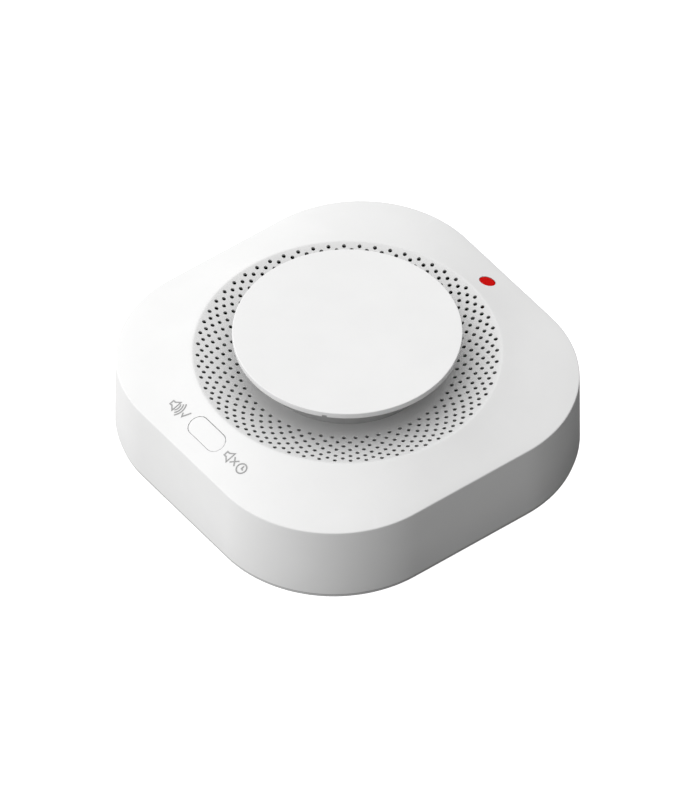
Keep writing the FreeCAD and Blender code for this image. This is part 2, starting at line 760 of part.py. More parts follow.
def add_rear_plate(body):
    bottom, step = size("rear_bottom"), size("rear_step")
    corner = size("corner_radius") + size("wall_draft")
    half = size("half_side") + size("wall_draft")
    inset = size("rear_inset")
    rim = new_sketch(body, height=bottom)
    add_rounded_square(rim, half - inset, corner - inset)
    pad(body, rim, step - bottom)
    inset = size("wall") + size("lip_gap")
    lip = new_sketch(body, height=step)
    add_rounded_square(lip, half - inset, corner - inset)
    pad(body, lip, size("rear_plate_top") - step)
    ring(body, None, size("recess_wall_radius"), bottom, size("floor_top"))
    recess = new_sketch(body, height=bottom)
    add_circle(recess, size("recess_radius"))
    pocket(body, recess, size("recess_ceiling") - bottom)


def add_battery_bay(body):
    length, width, wall = size("bay_half_length"), size("bay_half_width"), size("bay_wall")
    bottom = size("bay_bottom")
    outside = new_sketch(body, height=bottom)
    add_rectangle(outside, -length - wall, length + wall, -width - wall, width + wall)
    pad(body, outside, size("bay_roof_top") - bottom)
    inside = new_sketch(body, height=bottom)
    add_rectangle(inside, -length, length, -width, width)
    pocket(body, inside, size("bay_ceiling") - bottom)
    notch = new_sketch(body, height=bottom)
    half_tab, past = size("tab_half_width") + size("door_gap") * 2, size("cut_past")
    add_rectangle(notch, -half_tab, half_tab, width - past, width + wall + past)
    pocket(body, notch, size("door_thickness") + size("door_gap") * 3)
    for forward in (True, False):
        pin_hole = new_sketch(body, "YZ_Plane")
        add_circle(pin_hole, size("pin_hole_radius"), door_axis_y(), size("door_axis_z"))
        pocket(body, pin_hole, length + wall + size("door_gap"), upward=forward)
    tails = new_sketch(body)
    half_slot = size("contact_thickness") + size("clearance")
    for side in (-1, 1):
        middle = side * size("cell_pitch") / 2
        reach = size("tail_half_width") + size("tail_room")
        add_rectangle(tails, length - half_slot * 2, length, middle - reach, middle + reach)
    pocket(body, tails)


def door_axis_y():
    return size("door_axis_from_wall") - size("bay_half_width")


def add_bayonet_hooks(body):
    stem = ring_sector(
        body, "Revolution", size("stem_inner"), size("stem_outer"),
        size("foot_bottom"), size("recess_ceiling"), HOOK_ANGLE, HOOK_SWEEP,
    )
    foot = ring_sector(
        body, "Revolution", size("foot_inner"), size("foot_outer"),
        size("foot_bottom"), size("foot_top"), HOOK_ANGLE, HOOK_SWEEP,
    )
    polar(body, [stem, foot], BAYONET_HOOKS)


def add_rear_bosses(body):
    """Each housing screw goes up through a boss, its head sunk in the rear plate."""
    place, seat = size("screw_place"), size("head_seat")
    boss = new_sketch(body, height=size("rear_step"))
    add_circle(boss, size("rear_boss_radius"), place, place)
    raised = pad(body, boss, size("rear_boss_top") - size("rear_step"))
    head = new_sketch(body, height=size("rear_bottom"))
    add_circle(head, size("screw_head_radius") + size("head_room"), place, place)
    seated = pocket(body, head, seat - size("rear_bottom"))
    hole = new_sketch(body, height=seat)
    add_circle(hole, size("screw_radius") + size("shank_room"), place, place)
    drilled = pocket(body, hole, size("rear_boss_top") - seat)
    polar(body, [raised, seated, drilled], 4)


def add_board_posts(body):
    posts = new_sketch(body, height=size("floor_top"))
    bores = new_sketch(body, height=size("floor_top"))
    for x, y in BOARD_POSTS:
        add_circle(posts, size("post_radius"), x, y)
        add_circle(bores, size("board_screw_radius") + size("screw_fit"), x, y)
    height = size("board_bottom") - size("floor_top")
    pad(body, posts, height)
    pocket(body, bores, height)


def make_mounting_bracket():
    """A ring screwed to the ceiling; the alarm's four hooks turn into its tracks."""
    body = new_body("mounting_bracket")
    inner, outer = size("window_radius"), size("bracket_radius")
    top, plate = size("bracket_top"), size("bracket_plate_bottom")
    ring(body, inner, outer, plate, top)
    ring(body, size("outer_rim_radius"), outer, 0, plate)
    ring(body, inner, size("inner_rim_radius"), 0, plate)
    bosses = new_sketch(body)
    slots = new_sketch(body)
    for side in (-1, 1):
        middle = side * size("slot_place")
        half = size("boss_length") / 2
        add_rectangle(
            bosses, -size("boss_half_width"), size("boss_half_width"), middle - half, middle + half
        )
        add_stadium(slots, size("slot_length"), size("slot_half_width") * 2, 0, middle, turn=1)
    pad(body, bosses, top)
    pocket(body, slots)
    cut_tracks(body, top)


def cut_tracks(body, top):
    sweep = HOOK_SWEEP + 2 * TRACK_MARGIN
    track = ring_sector(
        body, "Groove", size("track_inner"), size("track_outer"), 0, top,
        HOOK_ANGLE + TWIST / 2, TWIST + sweep,
    )
    entry = ring_sector(
        body, "Groove", size("entry_inner"), size("entry_outer"), 0, top, HOOK_ANGLE + TWIST, sweep
    )
    polar(body, [track, entry], BAYONET_HOOKS)


def make_battery_door():
    """A flat door whose round hinge edge carries a pin at each end."""
    gap, thick = size("door_gap"), size("door_thickness")
    length = (size("bay_half_length") - gap) * 2
    axis_y, axis_z = door_axis_y(), size("door_axis_z")
    width = size("bay_half_width") - gap - axis_y
    bottom = axis_z - thick / 2
    plate = box("door_plate", length, width, thick, 0, axis_y + width / 2, bottom)
    knuckle = bar_along_x("door_knuckle", thick / 2, length, axis_y, axis_z)
    pins = bar_along_x(
        "door_pins", size("pin_radius"), length + size("pin_length") * 2, axis_y, axis_z
    )
    tab_y = axis_y + width + size("tab_length") / 2
    tab = box("door_tab", size("tab_half_width") * 2, size("tab_length"), thick, 0, tab_y, bottom)
    fuse("battery_door", [plate, knuckle, pins, tab])


def bar_along_x(name, radius, length, y, z):
    bar = cylinder(name, radius, length)
    bar.Placement.Rotation = FreeCAD.Rotation(FreeCAD.Vector(0, 1, 0), 90)
    bind(bar, "Placement.Base.x", -as_size(length) / 2)
    bind(bar, "Placement.Base.y", y)
    bind(bar, "Placement.Base.z", z)
    return bar


# Power.


def make_battery_cell(label, side):
    """One AAA cell; side is -1 or 1, and the two lie head to tail."""
    body = new_body(label)
    radius, length, nub = size("cell_radius"), size("cell_length"), size("nub_radius")
    bevel = size("cell_bevel")
    outline = new_sketch(body, "XZ_Plane")
    add_outline(outline, [
        (0, 0), (radius - bevel, 0), (radius, bevel), (radius, length - bevel),
        (radius - bevel, length), (nub, length), (nub, length + size("nub_length")),
        (0, length + size("nub_length")),
    ])
    spin(body, "Revolution", outline)
    body.Placement.Rotation = FreeCAD.Rotation(FreeCAD.Vector(0, 1, 0), 90 * side)
    bind(body, "Placement.Base.x", -side * (length / 2 + cell_shift()))
    bind(body, "Placement.Base.y", side * size("cell_pitch") / 2)
    bind(body, "Placement.Base.z", size("cell_axis_z"))


def cell_shift():
    """How far a cell sits from the bay's middle, towards its nub's contact."""
    free = size("bay_half_length") - size("contact_thickness") - size("contact_gap")
    return size("nub_length") + size("cell_length") / 2 - free


def contact_place():
    """How far the contacts' middles stand from the bay's middle."""
    return size("bay_half_length") - size("press_gap") - size("contact_thickness") / 2


def make_contacts():
    thick, width, height = size("contact_thickness"), size("contact_width"), size("contact_height")
    place, low = contact_place(), size("cell_axis_z") - height / 2
    box("series_contact", thick, size("cell_pitch") + width, height, -place, 0, low)
    for label, side in (("positive_contact", 1), ("negative_contact", -1)):
        middle = side * size("cell_pitch") / 2
        plate = box(f"{label}_plate", thick, width, height, place, middle, low)
        tail_width, tail_height = size("tail_half_width") * 2, BOARD_TOP + size("tail_rise") - low
        tail = box(f"{label}_tail", thick, tail_width, tail_height, place, middle, low)
        fuse(label, [plate, tail])


def make_contact_springs():
    """A coil presses on each cell's flat end."""
    coils = []
    for side in (-1, 1):
        helix = doc.addObject("Part::Helix", f"spring_line{side + 1}")
        bind(helix, "Pitch", size("spring_pitch"))
        bind(helix, "Height", size("spring_length"))
        bind(helix, "Radius", size("spring_radius"))
        wire = doc.addObject("Part::Circle", f"spring_wire{side + 1}")
        bind(wire, "Radius", size("spring_wire"))
        wire.Placement.Rotation = FreeCAD.Rotation(FreeCAD.Vector(1, 0, 0), 90)
        bind(wire, "Placement.Base.x", size("spring_radius"))
        coil = doc.addObject("Part::Sweep", f"spring{side + 1}")
        doc.recompute()
        coil.Sections = [wire]
        coil.Spine = (helix, [f"Edge{i + 1}" for i in range(len(helix.Shape.Edges))])
        coil.Solid = True
        coil.Frenet = True
        coil.Placement.Rotation = FreeCAD.Rotation(FreeCAD.Vector(0, 1, 0), 90 * side)
        inset = size("contact_thickness") + size("spring_wire") + size("contact_gap")
        bind(coil, "Placement.Base.x", -side * (size("bay_half_length") - inset))
        bind(coil, "Placement.Base.y", side * size("cell_pitch") / 2)
        bind(coil, "Placement.Base.z", size("cell_axis_z"))
        coils.append(coil)
    group("contact_springs", coils)


# Circuit board and what stands on it.


def make_main_board():
    body = new_body("main_board")
    outline = new_sketch(body, height=size("board_bottom"))
    add_rounded_square(outline, size("board_half"), size("board_corner"))
    pad(body, outline, size("board_thickness"))
    holes = new_sketch(body)
    place = size("screw_place")
    for side_x in (-1, 1):
        for side_y in (-1, 1):
            add_circle(holes, size("boss_notch_radius"), place * side_x, place * side_y)
    for x, y in BOARD_POSTS:
        add_circle(holes, size("board_screw_radius") + size("clearance"), x, y)
    for _, x, y in lead_places():
        add_circle(holes, size("lead_hole_radius"), x, y)
    add_circle(holes, size("sounder_radius") / 2, size("sounder_x"), size("sounder_y"))
    for x, y in terminal_places():
        add_circle(holes, size("terminal_radius") + size("clearance"), x, y)
    tail, half_slot = contact_place(), size("tail_slot_half")
    for side in (-1, 1):
        middle = side * size("cell_pitch") / 2
        reach = size("tail_half_width") + size("tail_room")
        add_rectangle(holes, tail - half_slot, tail + half_slot, middle - reach, middle + reach)
    pocket(body, holes)


def make_screws(label, places, radius, head_radius, head, tip):
    """Pan-head screws with a cross recess; head is the seat's height and tip the far end's."""
    screws = []
    down = tip.number < head.number
    head_height = size("head_height")
    recess_depth, arms = head_height / 2, (size("recess_length"), size("recess_width"))
    for number, (x, y) in enumerate(places, start=1):
        name = f"{label}{number}"
        low = head if down else head - head_height
        crown = cylinder(f"{name}_head", head_radius, head_height, x, y, low)
        shank_low, reach = (tip, head - tip) if down else (head, tip - head)
        shank = cylinder(f"{name}_shank", radius, reach, x, y, shank_low)
        recess_low = low + recess_depth if down else low
        cross = [
            box(f"{name}_slot{turn}", *lengths, recess_depth, x, y, recess_low)
            for turn, lengths in enumerate((arms, arms[::-1]))
        ]
        blank = fuse(f"{name}_blank", [crown, shank])
        screws.append(cut(name, blank, fuse(f"{name}_recess", cross)))
    group(label, screws)


def make_housing_screws():
    place = size("screw_place")
    places = [(place * x, place * y) for x in (-1, 1) for y in (-1, 1)]
    seat, tip = size("head_seat") - size("screw_fit"), size("screw_tip")
    make_screws("housing_screws", places, size("screw_radius"), size("screw_head_radius"), seat, tip)


def make_board_screws():
    seat, tip = BOARD_TOP + size("screw_fit"), size("board_screw_tip")
    radius, head_radius = size("board_screw_radius"), size("board_head_radius")
    make_screws("board_screws", BOARD_POSTS, radius, head_radius, seat, tip)


def make_switch():
    """A tactile switch: base with a dome in its well, plunger, and a metal frame over them."""
    side, place, past = size("switch_side"), -size("button_place"), size("cut_past")
    top, well = size("switch_base_top"), size("switch_cavity_floor")
    well_radius = size("switch_cavity_radius")
    block = box("switch_block", side, side, top - BOARD_TOP, 0, place, BOARD_TOP)
    hollow = cylinder("switch_hollow", well_radius, top - well + past, 0, place, well)
    cut("switch_base", block, hollow)
    dome_radius, dome_low = well_radius - size("clearance"), well + size("screw_fit")
    cylinder("switch_dome", dome_radius, size("dome_thickness"), 0, place, dome_low)
    plate = box("frame_plate", side, side, size("frame_thickness"), 0, place, top)
    radius = size("plunger_radius")
    bore = cylinder("frame_bore", radius + size("plunger_fit"), past * 2, 0, place, top - past)
    cut("switch_frame", plate, bore)
    low, high = size("plunger_bottom"), size("plunger_top")
    flange_radius, flange_height = size("plunger_flange_radius"), size("plunger_flange")
    flange = cylinder("plunger_flange_disc", flange_radius, flange_height, 0, place, low)
    stem = cylinder("plunger_stem", radius, high - low, 0, place, low)
    fuse("switch_plunger", [flange, stem])


def terminal_places():
    reach = size("sounder_radius") - size("sounder_wall") / 2
    for side in (-1, 1):
        yield size("sounder_x") + reach * side, size("sounder_y")


def make_sounder():
    """A case with a ledge for the piezo disc, a cap with a port, and two terminals."""
    x, y = size("sounder_x"), size("sounder_y")
    radius, bottom, height = size("sounder_radius"), size("sounder_bottom"), size("sounder_height")
    wall, ledge, top = size("sounder_wall"), size("piezo_z"), bottom + height
    outside = cylinder("sounder_outside", radius, height, x, y, bottom)
    floor = bottom + size("sounder_floor")
    tools = [
        cylinder("sounder_well", radius - wall * 2, height, x, y, floor),
        cylinder("sounder_mouth", radius - wall, height, x, y, ledge),
    ]
    pins = []
    pin_radius, pin_low = size("terminal_radius"), top - size("terminal_depth")
    for number, (pin_x, pin_y) in enumerate(terminal_places()):
        fit = pin_radius + size("screw_fit")
        tools.append(cylinder(f"terminal_hole{number}", fit, height, pin_x, pin_y, pin_low))
        reach = BOARD_TOP + size("tail_rise") - pin_low
        pins.append(cylinder(f"terminal{number}", pin_radius, reach, pin_x, pin_y, pin_low))
    cut("sounder_case", outside, fuse("sounder_tools", tools))
    cylinder("piezo_disc", size("piezo_radius"), size("piezo_thickness"), x, y, ledge)
    make_sounder_cap(x, y, radius - wall, top)
    group("sounder_terminals", pins)


def make_sounder_cap(x, y, mouth_radius, top):
    thick, past = size("sounder_lid"), size("cut_past")
    low = top - thick - size("clearance")
    lid = cylinder("sounder_lid_disc", mouth_radius - size("press_gap"), thick, x, y, low)
    port = cylinder("sounder_port", size("sounder_radius") / 4, thick + past * 2, x, y, low - past)
    cut("sounder_cap", lid, port)


def make_radio():
    """A small board of its own, with a folded steel can over most of it."""
    x, y, thick = size("radio_x"), size("radio_y"), size("radio_thickness")
    box("radio_board", size("radio_length"), size("radio_width"), thick, x, y, BOARD_TOP)
    side, height, wall = size("shield_side"), size("shield_height"), size("shield_wall")
    middle, low = y - size("shield_shift"), BOARD_TOP + thick
    inner = side - wall * 2
    outside = box("shield_outside", side, side, height, x, middle, low)
    inside = box("shield_inside", inner, inner, height - wall, x, middle, low)
    cut("radio_shield", outside, inside)


def make_chip(label, length, width, height, x, y, legs, pitch):
    """A flat package with legs along its two long sides."""
    low = BOARD_TOP + size("clearance")
    pieces = [box(f"{label}_body", length, width, height, x, y, low)]
    leg_width, leg_length, leg_height = size("leg_width"), size("leg_length"), size("leg_height")
    for side in (-1, 1):
        for leg in range(legs):
            leg_x = x + (leg - (legs - 1) / 2) * pitch
            leg_y = y + side * (width / 2 + leg_width)
            name = f"{label}_leg"
            pieces.append(box(name, leg_width, leg_length, leg_height, leg_x, leg_y, BOARD_TOP))
    fuse(label, pieces)


def make_board_parts():
    for label, package in CHIPS.items():
        make_chip(label, *package)
    radius, height = size("inductor_radius"), size("inductor_height")
    cylinder("inductor", radius, height, *INDUCTOR_PLACE, BOARD_TOP)
    cans = [
        cylinder(f"capacitor_can{number}", size("can_radius"), size("can_height"), x, y, BOARD_TOP)
        for number, (x, y) in enumerate(CAPACITOR_CANS)
    ]
    group("electrolytic_capacitors", cans)
    crystal = size("crystal_length"), size("crystal_width"), size("crystal_height")
    box("crystal", *crystal, *CRYSTAL_PLACE, BOARD_TOP)
    lamp = size("led_length"), size("led_width"), size("led_height")
    box("indicator_led", *lamp, 0, size("indicator_place"), BOARD_TOP)
    make_small_parts(
        "chip_resistors", RESISTOR_CORNER, RESISTOR_COLUMNS, RESISTOR_ROWS, size("resistor_height")
    )
    make_small_parts(
        "chip_capacitors", CAPACITOR_CORNER, CAPACITOR_COLUMNS, CAPACITOR_ROWS, size("small_width")
    )


def make_small_parts(label, corner, columns, rows, height):
    """Columns and rows of equal chips, the first one standing on the corner."""
    length, width, pitch = size("small_length"), size("small_width"), size("small_pitch")
    chips = []
    for column in range(columns):
        for row in range(rows):
            x, y = corner[0] + pitch * column, corner[1] + pitch * row
            chips.append(box(f"{label}_{column}_{row}", length, width, height, x, y, BOARD_TOP))
    group(label, chips)


NODES = [
    "front_cover", "disc_cap", "inlet_ring", "insect_screen", "test_button", "led_lens",
    "rear_cover", "mounting_bracket", "battery_door", "battery_cell_1", "battery_cell_2",
    "series_contact", "positive_contact", "negative_contact", "contact_springs", "main_board",
    "board_screws", "housing_screws", "labyrinth_base", "labyrinth_cover", "chamber_gasket",
    "infrared_emitter", "photodiode", "switch_base", "switch_dome", "switch_plunger",
    "switch_frame", "indicator_led", "sounder_case", "piezo_disc", "sounder_cap",
    "sounder_terminals", "radio_board", "radio_shield", "microcontroller", "detector_chip",
    "booster_chip", "inductor", "electrolytic_capacitors", "crystal", "chip_resistors",
    "chip_capacitors",
]


def write_parts():
    """Checks every object, then writes each sub-part's solids to its own file."""
    doc.recompute()
    failed = [thing.Name for thing in doc.Objects if {"Invalid", "Error"} & set(thing.State)]
    if failed:
        raise ValueError(f"failed objects: {failed}")
    labels = {thing.Label: thing for thing in doc.Objects}
    shapes = {node: labels[node].Shape for node in NODES}
    for node, shape in shapes.items():
        if shape.isNull() or not shape.isValid() or not shape.Solids:
            raise ValueError(f"{node} has no valid solid")
    os.makedirs("parts", exist_ok=True)
    for node, shape in shapes.items():
        shape.exportStep(f"parts/{node}.step")
        print(f"{node}: {len(shape.Solids)} solid(s), {shape.Volume:.1f} mm3")


make_front_cover()
make_test_button()
make_led_lens()
make_disc_cap()
make_inlet_ring()
make_insect_screen()
make_labyrinth_base()
make_labyrinth_cover()
make_chamber_gasket()
make_optic("infrared_emitter", 0)
make_optic("photodiode", 1)
make_rear_cover()
make_mounting_bracket()
make_battery_door()
make_battery_cell("battery_cell_1", 1)
make_battery_cell("battery_cell_2", -1)
make_contacts()
make_contact_springs()
make_main_board()
make_housing_screws()
make_board_screws()
make_switch()
make_sounder()
make_radio()
make_board_parts()
write_parts()
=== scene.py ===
import json
import math

import bmesh
import bpy
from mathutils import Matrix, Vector


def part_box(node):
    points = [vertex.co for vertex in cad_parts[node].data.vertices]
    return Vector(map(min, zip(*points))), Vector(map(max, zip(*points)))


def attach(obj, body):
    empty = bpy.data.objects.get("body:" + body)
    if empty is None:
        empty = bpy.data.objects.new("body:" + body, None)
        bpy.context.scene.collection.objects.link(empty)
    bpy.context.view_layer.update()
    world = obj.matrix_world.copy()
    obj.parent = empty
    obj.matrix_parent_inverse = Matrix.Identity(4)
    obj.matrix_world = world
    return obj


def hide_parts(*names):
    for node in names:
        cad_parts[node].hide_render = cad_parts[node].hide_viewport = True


# A white smoke alarm on its back. The frame gives the outer sizes; the visual pieces add the
# roundings, the perforated dish, the legends and the finishes. Lengths are in metres.

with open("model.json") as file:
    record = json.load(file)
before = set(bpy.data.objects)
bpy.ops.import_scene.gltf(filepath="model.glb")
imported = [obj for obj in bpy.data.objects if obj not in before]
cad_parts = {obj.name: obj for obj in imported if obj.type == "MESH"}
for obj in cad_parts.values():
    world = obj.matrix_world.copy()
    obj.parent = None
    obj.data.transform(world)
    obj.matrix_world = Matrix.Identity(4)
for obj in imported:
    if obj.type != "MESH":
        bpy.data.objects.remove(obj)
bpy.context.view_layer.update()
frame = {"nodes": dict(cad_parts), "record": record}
nodes = frame["nodes"]
node_slots = {part["node"]: part["material_slot"] for part in frame["record"]["subparts"]}

MM = 0.001

# Sizes read from the frame.

cover_low, cover_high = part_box("front_cover")
disc_low, disc_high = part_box("disc_cap")
button_low, button_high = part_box("test_button")
lens_low, lens_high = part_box("led_lens")

# The cover: a rounded square whose top slopes up to a round rim, with a dish inside it.

WALL_DRAFT = 0.29 * MM
HALF_SIDE = cover_high.x - WALL_DRAFT
CORNER_RADIUS = 32.7 * MM
BOTTOM = cover_low.z
RIM_HEIGHT = cover_high.z
SLOPE_RISE = 4.85 * MM
EDGE_HEIGHT = RIM_HEIGHT - SLOPE_RISE
RIM_RADIUS = 38.0 * MM
DISH_DEPTH = 2.88 * MM
DISH_FLAT_RADIUS = 19.1 * MM
DISH_THICKNESS = 0.8 * MM
NECK_OPENING = 21.0 * MM
WALL = 2.0 * MM
TOP_DROP = 2.1 * MM
FOOT_ROUND = 0.2 * MM
EDGE_ROUND = 0.32 * MM
RIM_ROUND = 0.38 * MM

# Its holes stand in rings, each turned by half a pitch from the next, and flare underneath.

RINGS = 8
HOLES_IN_A_RING = 60
OUTER_RING_RADIUS = 36.68 * MM
RING_STEP = 1.02 * MM
RING_STEP_GROWTH = 0.117 * MM
HOLE_RADIUS = 0.5 * MM
HOLE_CHAMFER = 0.04 * MM
HOLE_LAND = 0.22 * MM
HOLE_FLARE = 0.72 * MM
HEM = 0.2 * MM  # plain dish between the last holes and the next band of mesh

HALF_PITCH_STEPS = 5  # mesh columns between a hole and its neighbour in the next ring
COLUMNS = 2 * HOLES_IN_A_RING * HALF_PITCH_STEPS

# Disc, button and lens.

DISC_RADIUS = disc_high.x
DISC_CROWN = 0.44 * MM
DISC_RIM = 1.6 * MM
DISC_EDGE_ROUND = 0.22 * MM
DISC_FOOT_ROUND = DISC_EDGE_ROUND / 2
DISC_STEPS = 720
DISC_EDGE_STEPS = 5
CROWN_STEPS = 11
SPIGOT_OUTER = 20.0 * MM
SPIGOT_INNER = 18.6 * MM
NOTCH_ANGLE = math.radians(-48.65)
NOTCH_WIDTH = 1.0 * MM
NOTCH_HEIGHT = 0.58 * MM  # above the disc's underside
NOTCH_DEPTH = 1.2 * MM
NOTCH_LEDGE = DISC_EDGE_ROUND / 10  # a strip of mesh that ends the notch at its top

BRIM = 1.0 * MM  # the button's flange, which keeps it in the cover
BUTTON_Y = (button_low.y + button_high.y) / 2
BUTTON_LENGTH = button_high.x - button_low.x - 2 * BRIM
BUTTON_WIDTH = button_high.y - button_low.y - 2 * BRIM
BUTTON_FLANGE_TOP = button_low.z + 0.85 * MM
BUTTON_GAP = 0.12 * MM
BUTTON_ROUND = 0.16 * MM
BUTTON_END_STEPS = 12  # to a quarter of a circle
BUTTON_SIDE_STEPS = 10
GUIDE_BOTTOM = button_low.z + 0.95 * MM
GUIDE_WALL = 1.0 * MM
LENS_Y = (lens_low.y + lens_high.y) / 2
LENS_FLANGE = 0.8 * MM
LENS_RADIUS = lens_high.x - LENS_FLANGE
LENS_FLANGE_TOP = lens_low.z + 1.2 * MM
LENS_GAP = 0.05 * MM
LENS_ROUND = 0.3 * MM
LENS_STEPS = 64
PLUG_DROP = 0.02 * MM  # of the button and the lens, below the slope

# Screw bosses under the cover's corners.

BOSS_PLACE = 35.36 * MM
BOSS_RADIUS = 3.0 * MM
BOSS_BORE = 1.27 * MM
BOSS_BOTTOM = 4.6 * MM
BOSS_TOP = 23.0 * MM
BORE_TOP = 13.0 * MM
BOSS_STEPS = 48

# Legends: raised generic pictures in place of words.

LEGEND_Y = -43.15 * MM
LEGEND_LEFT = -14.1 * MM
LEGEND_RIGHT = 7.9 * MM
STROKE_WIDTH = 0.32 * MM
STROKE_RISE = 0.1 * MM
STROKE_SINK = 0.1 * MM
MITRE_LIMIT = 2.0  # how far a sharp corner may reach, in half widths


# Meshes.

SHARP_ANGLE = math.radians(35.0)


def new_piece(name, shape, body, material):
    """A closed mesh piece on a body, shaded smooth except across its sharp edges.
    """
    vertices, faces = shape
    mesh = bpy.data.meshes.new(name)
    mesh.from_pydata([tuple(vertex) for vertex in vertices], [], faces)
    cleaned = bmesh.new()
    cleaned.from_mesh(mesh)
    bmesh.ops.recalc_face_normals(cleaned, faces=cleaned.faces)
    cleaned.to_mesh(mesh)
    cleaned.free()
    mesh.shade_smooth()
    mesh.set_sharp_from_angle(angle=SHARP_ANGLE)
    mesh.materials.append(material)
    piece = bpy.data.objects.new(name, mesh)
    bpy.context.scene.collection.objects.link(piece)
    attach(piece, body)
    return piece


def merged(*shapes):
    """Several closed shapes as one."""
    vertices, faces = [], []
    for more_vertices, more_faces in shapes:
        start = len(vertices)
        vertices += more_vertices
        faces += [tuple(index + start for index in face) for face in more_faces]
    return vertices, faces


def strip(first, second):
    """Quads between two closed loops of the same length."""
    count = len(first)
    return [
        (first[i], first[(i + 1) % count], second[(i + 1) % count], second[i])
        for i in range(count)
    ]


def blend(start, end, share):
    return start + (end - start) * share


def polar_point(angle, radius, height):
    return Vector((radius * math.cos(angle), radius * math.sin(angle), height))


def rounded(before, corner, after, size, steps):
    """Points of an even curve that cuts the corner of a section, size back along each side."""
    start = corner + (before - corner).normalized() * size
    end = corner + (after - corner).normalized() * size
    points = []
    for step in range(steps + 1):
        share = step / steps
        points.append(blend(blend(start, corner, share), blend(corner, end, share), share))
    return points


def lathe(profile, steps, centre=(0.0, 0.0)):
    """Turns a section of (radius, height) points about an upright axis; both ends lie on it."""
    vertices, faces, loops = [], [], []
    for radius, height in profile:
        count = 1 if radius == 0 else steps
        loops.append(range(len(vertices), len(vertices) + count))
        for step in range(count):
            point = polar_point(2 * math.pi * step / steps, radius, height)
            vertices.append(point + Vector((*centre, 0)))
    for first, second in zip(loops, loops[1:]):
        if len(first) == len(second):
            faces += strip(first, second)
            continue
        tip, loop = (first[0], second) if len(first) == 1 else (second[0], first)
        faces += [(tip, loop[i], loop[(i + 1) % steps]) for i in range(steps)]
    return vertices, faces


def plug(outline, rows, is_ring=False):
    """Loops of one outline, each grown and raised as its row says, closed at both ends.

    A row is (grow, height), where height is a number or a function of x and y. The outline
    is mirrored about its long axis, so each end is filled between opposite points.
    """
    vertices, faces, loops = [], [], []
    for grow, height in rows:
        points = outline(grow)
        loops.append(range(len(vertices), len(vertices) + len(points)))
        for x, y in points:
            vertices.append(Vector((x, y, height(x, y) if callable(height) else height)))
    for first, second in zip(loops, loops[1:]):
        faces += strip(first, second)
    if is_ring:
        return vertices, faces + strip(loops[-1], loops[0])
    for loop in (loops[0], loops[-1]):
        count = len(loop)
        faces.append((loop[0], loop[1], loop[-1]))
        faces += [
            (loop[i], loop[i + 1], loop[count - i - 1], loop[count - i])
            for i in range(1, count // 2 - 1)
        ]
        middle = count // 2
        faces.append((loop[middle - 1], loop[middle], loop[middle + 1]))
    return vertices, faces


# The cover's form.


def outline_radius(angle, half, corner):
    """Distance from the middle to a rounded square in one direction."""
    turned = abs((angle + math.pi / 4) % (math.pi / 2) - math.pi / 4)
    hub = half - corner
    if math.tan(turned) <= hub / half:
        return half / math.cos(turned)
    along = hub * (math.cos(turned) + math.sin(turned))
    return along + math.sqrt(along**2 - 2 * hub**2 + corner**2)


def slope_height(x, y):
    """Height of the sloped top over a point."""
    outer = outline_radius(math.atan2(y, x), HALF_SIDE, CORNER_RADIUS)
    return EDGE_HEIGHT + SLOPE_RISE * (outer - math.hypot(x, y)) / (outer - RIM_RADIUS)


def above_slope(rise):
    return lambda x, y: slope_height(x, y) + rise


def dish_height(radius):
    """Height of the dish's floor: flat, then an arc up to the rim."""
    run = RIM_RADIUS - DISH_FLAT_RADIUS
    arc = (run**2 + DISH_DEPTH**2) / (2 * DISH_DEPTH)
    climb = max(radius - DISH_FLAT_RADIUS, 0)
    return RIM_HEIGHT - DISH_DEPTH + arc - math.sqrt(arc**2 - climb**2)


def column_angle(column):
    return 2 * math.pi * column / COLUMNS


def ring_radii():
    """Radii of the rings of holes, from the outside in."""
    radii = [OUTER_RING_RADIUS]
    for ring in range(RINGS - 1):
        radii.append(radii[-1] - RING_STEP - RING_STEP_GROWTH * ring)
    return radii


# The cover as a shell.


class Shell:
    """A surface with a thickness: each vertex has a place outside and a place inside."""

    def __init__(self):
        self.outside = []
        self.inside = []
        self.faces = []
        self.openings = []

    def vertex(self, outer, inner):
        self.outside.append(outer)
        self.inside.append(inner)
        return len(self.outside) - 1

    def shape(self):
        """The closed mesh: outside, inside, and a wall round every opening."""
        count = len(self.outside)
        faces = self.faces + [tuple(index + count for index in face) for face in self.faces]
        for loop in self.openings:
            faces += strip([index + count for index in loop], loop)
        return self.outside + self.inside, faces


FOOT_STEPS = 3
EDGE_STEPS = 6
RIM_STEPS = 4
DISH_ROWS = 5  # of mesh between the innermost holes and the neck
SLOPE_SHARES = (0.2, 0.344, 0.488, 0.632, 0.776, 0.92)
OPENING_SHARES = (0.35, 0.65, 0.85, 1.0)
BUTTON_BLOCK = 22  # mesh columns each side of the button that its opening may use
LENS_BLOCK = 12


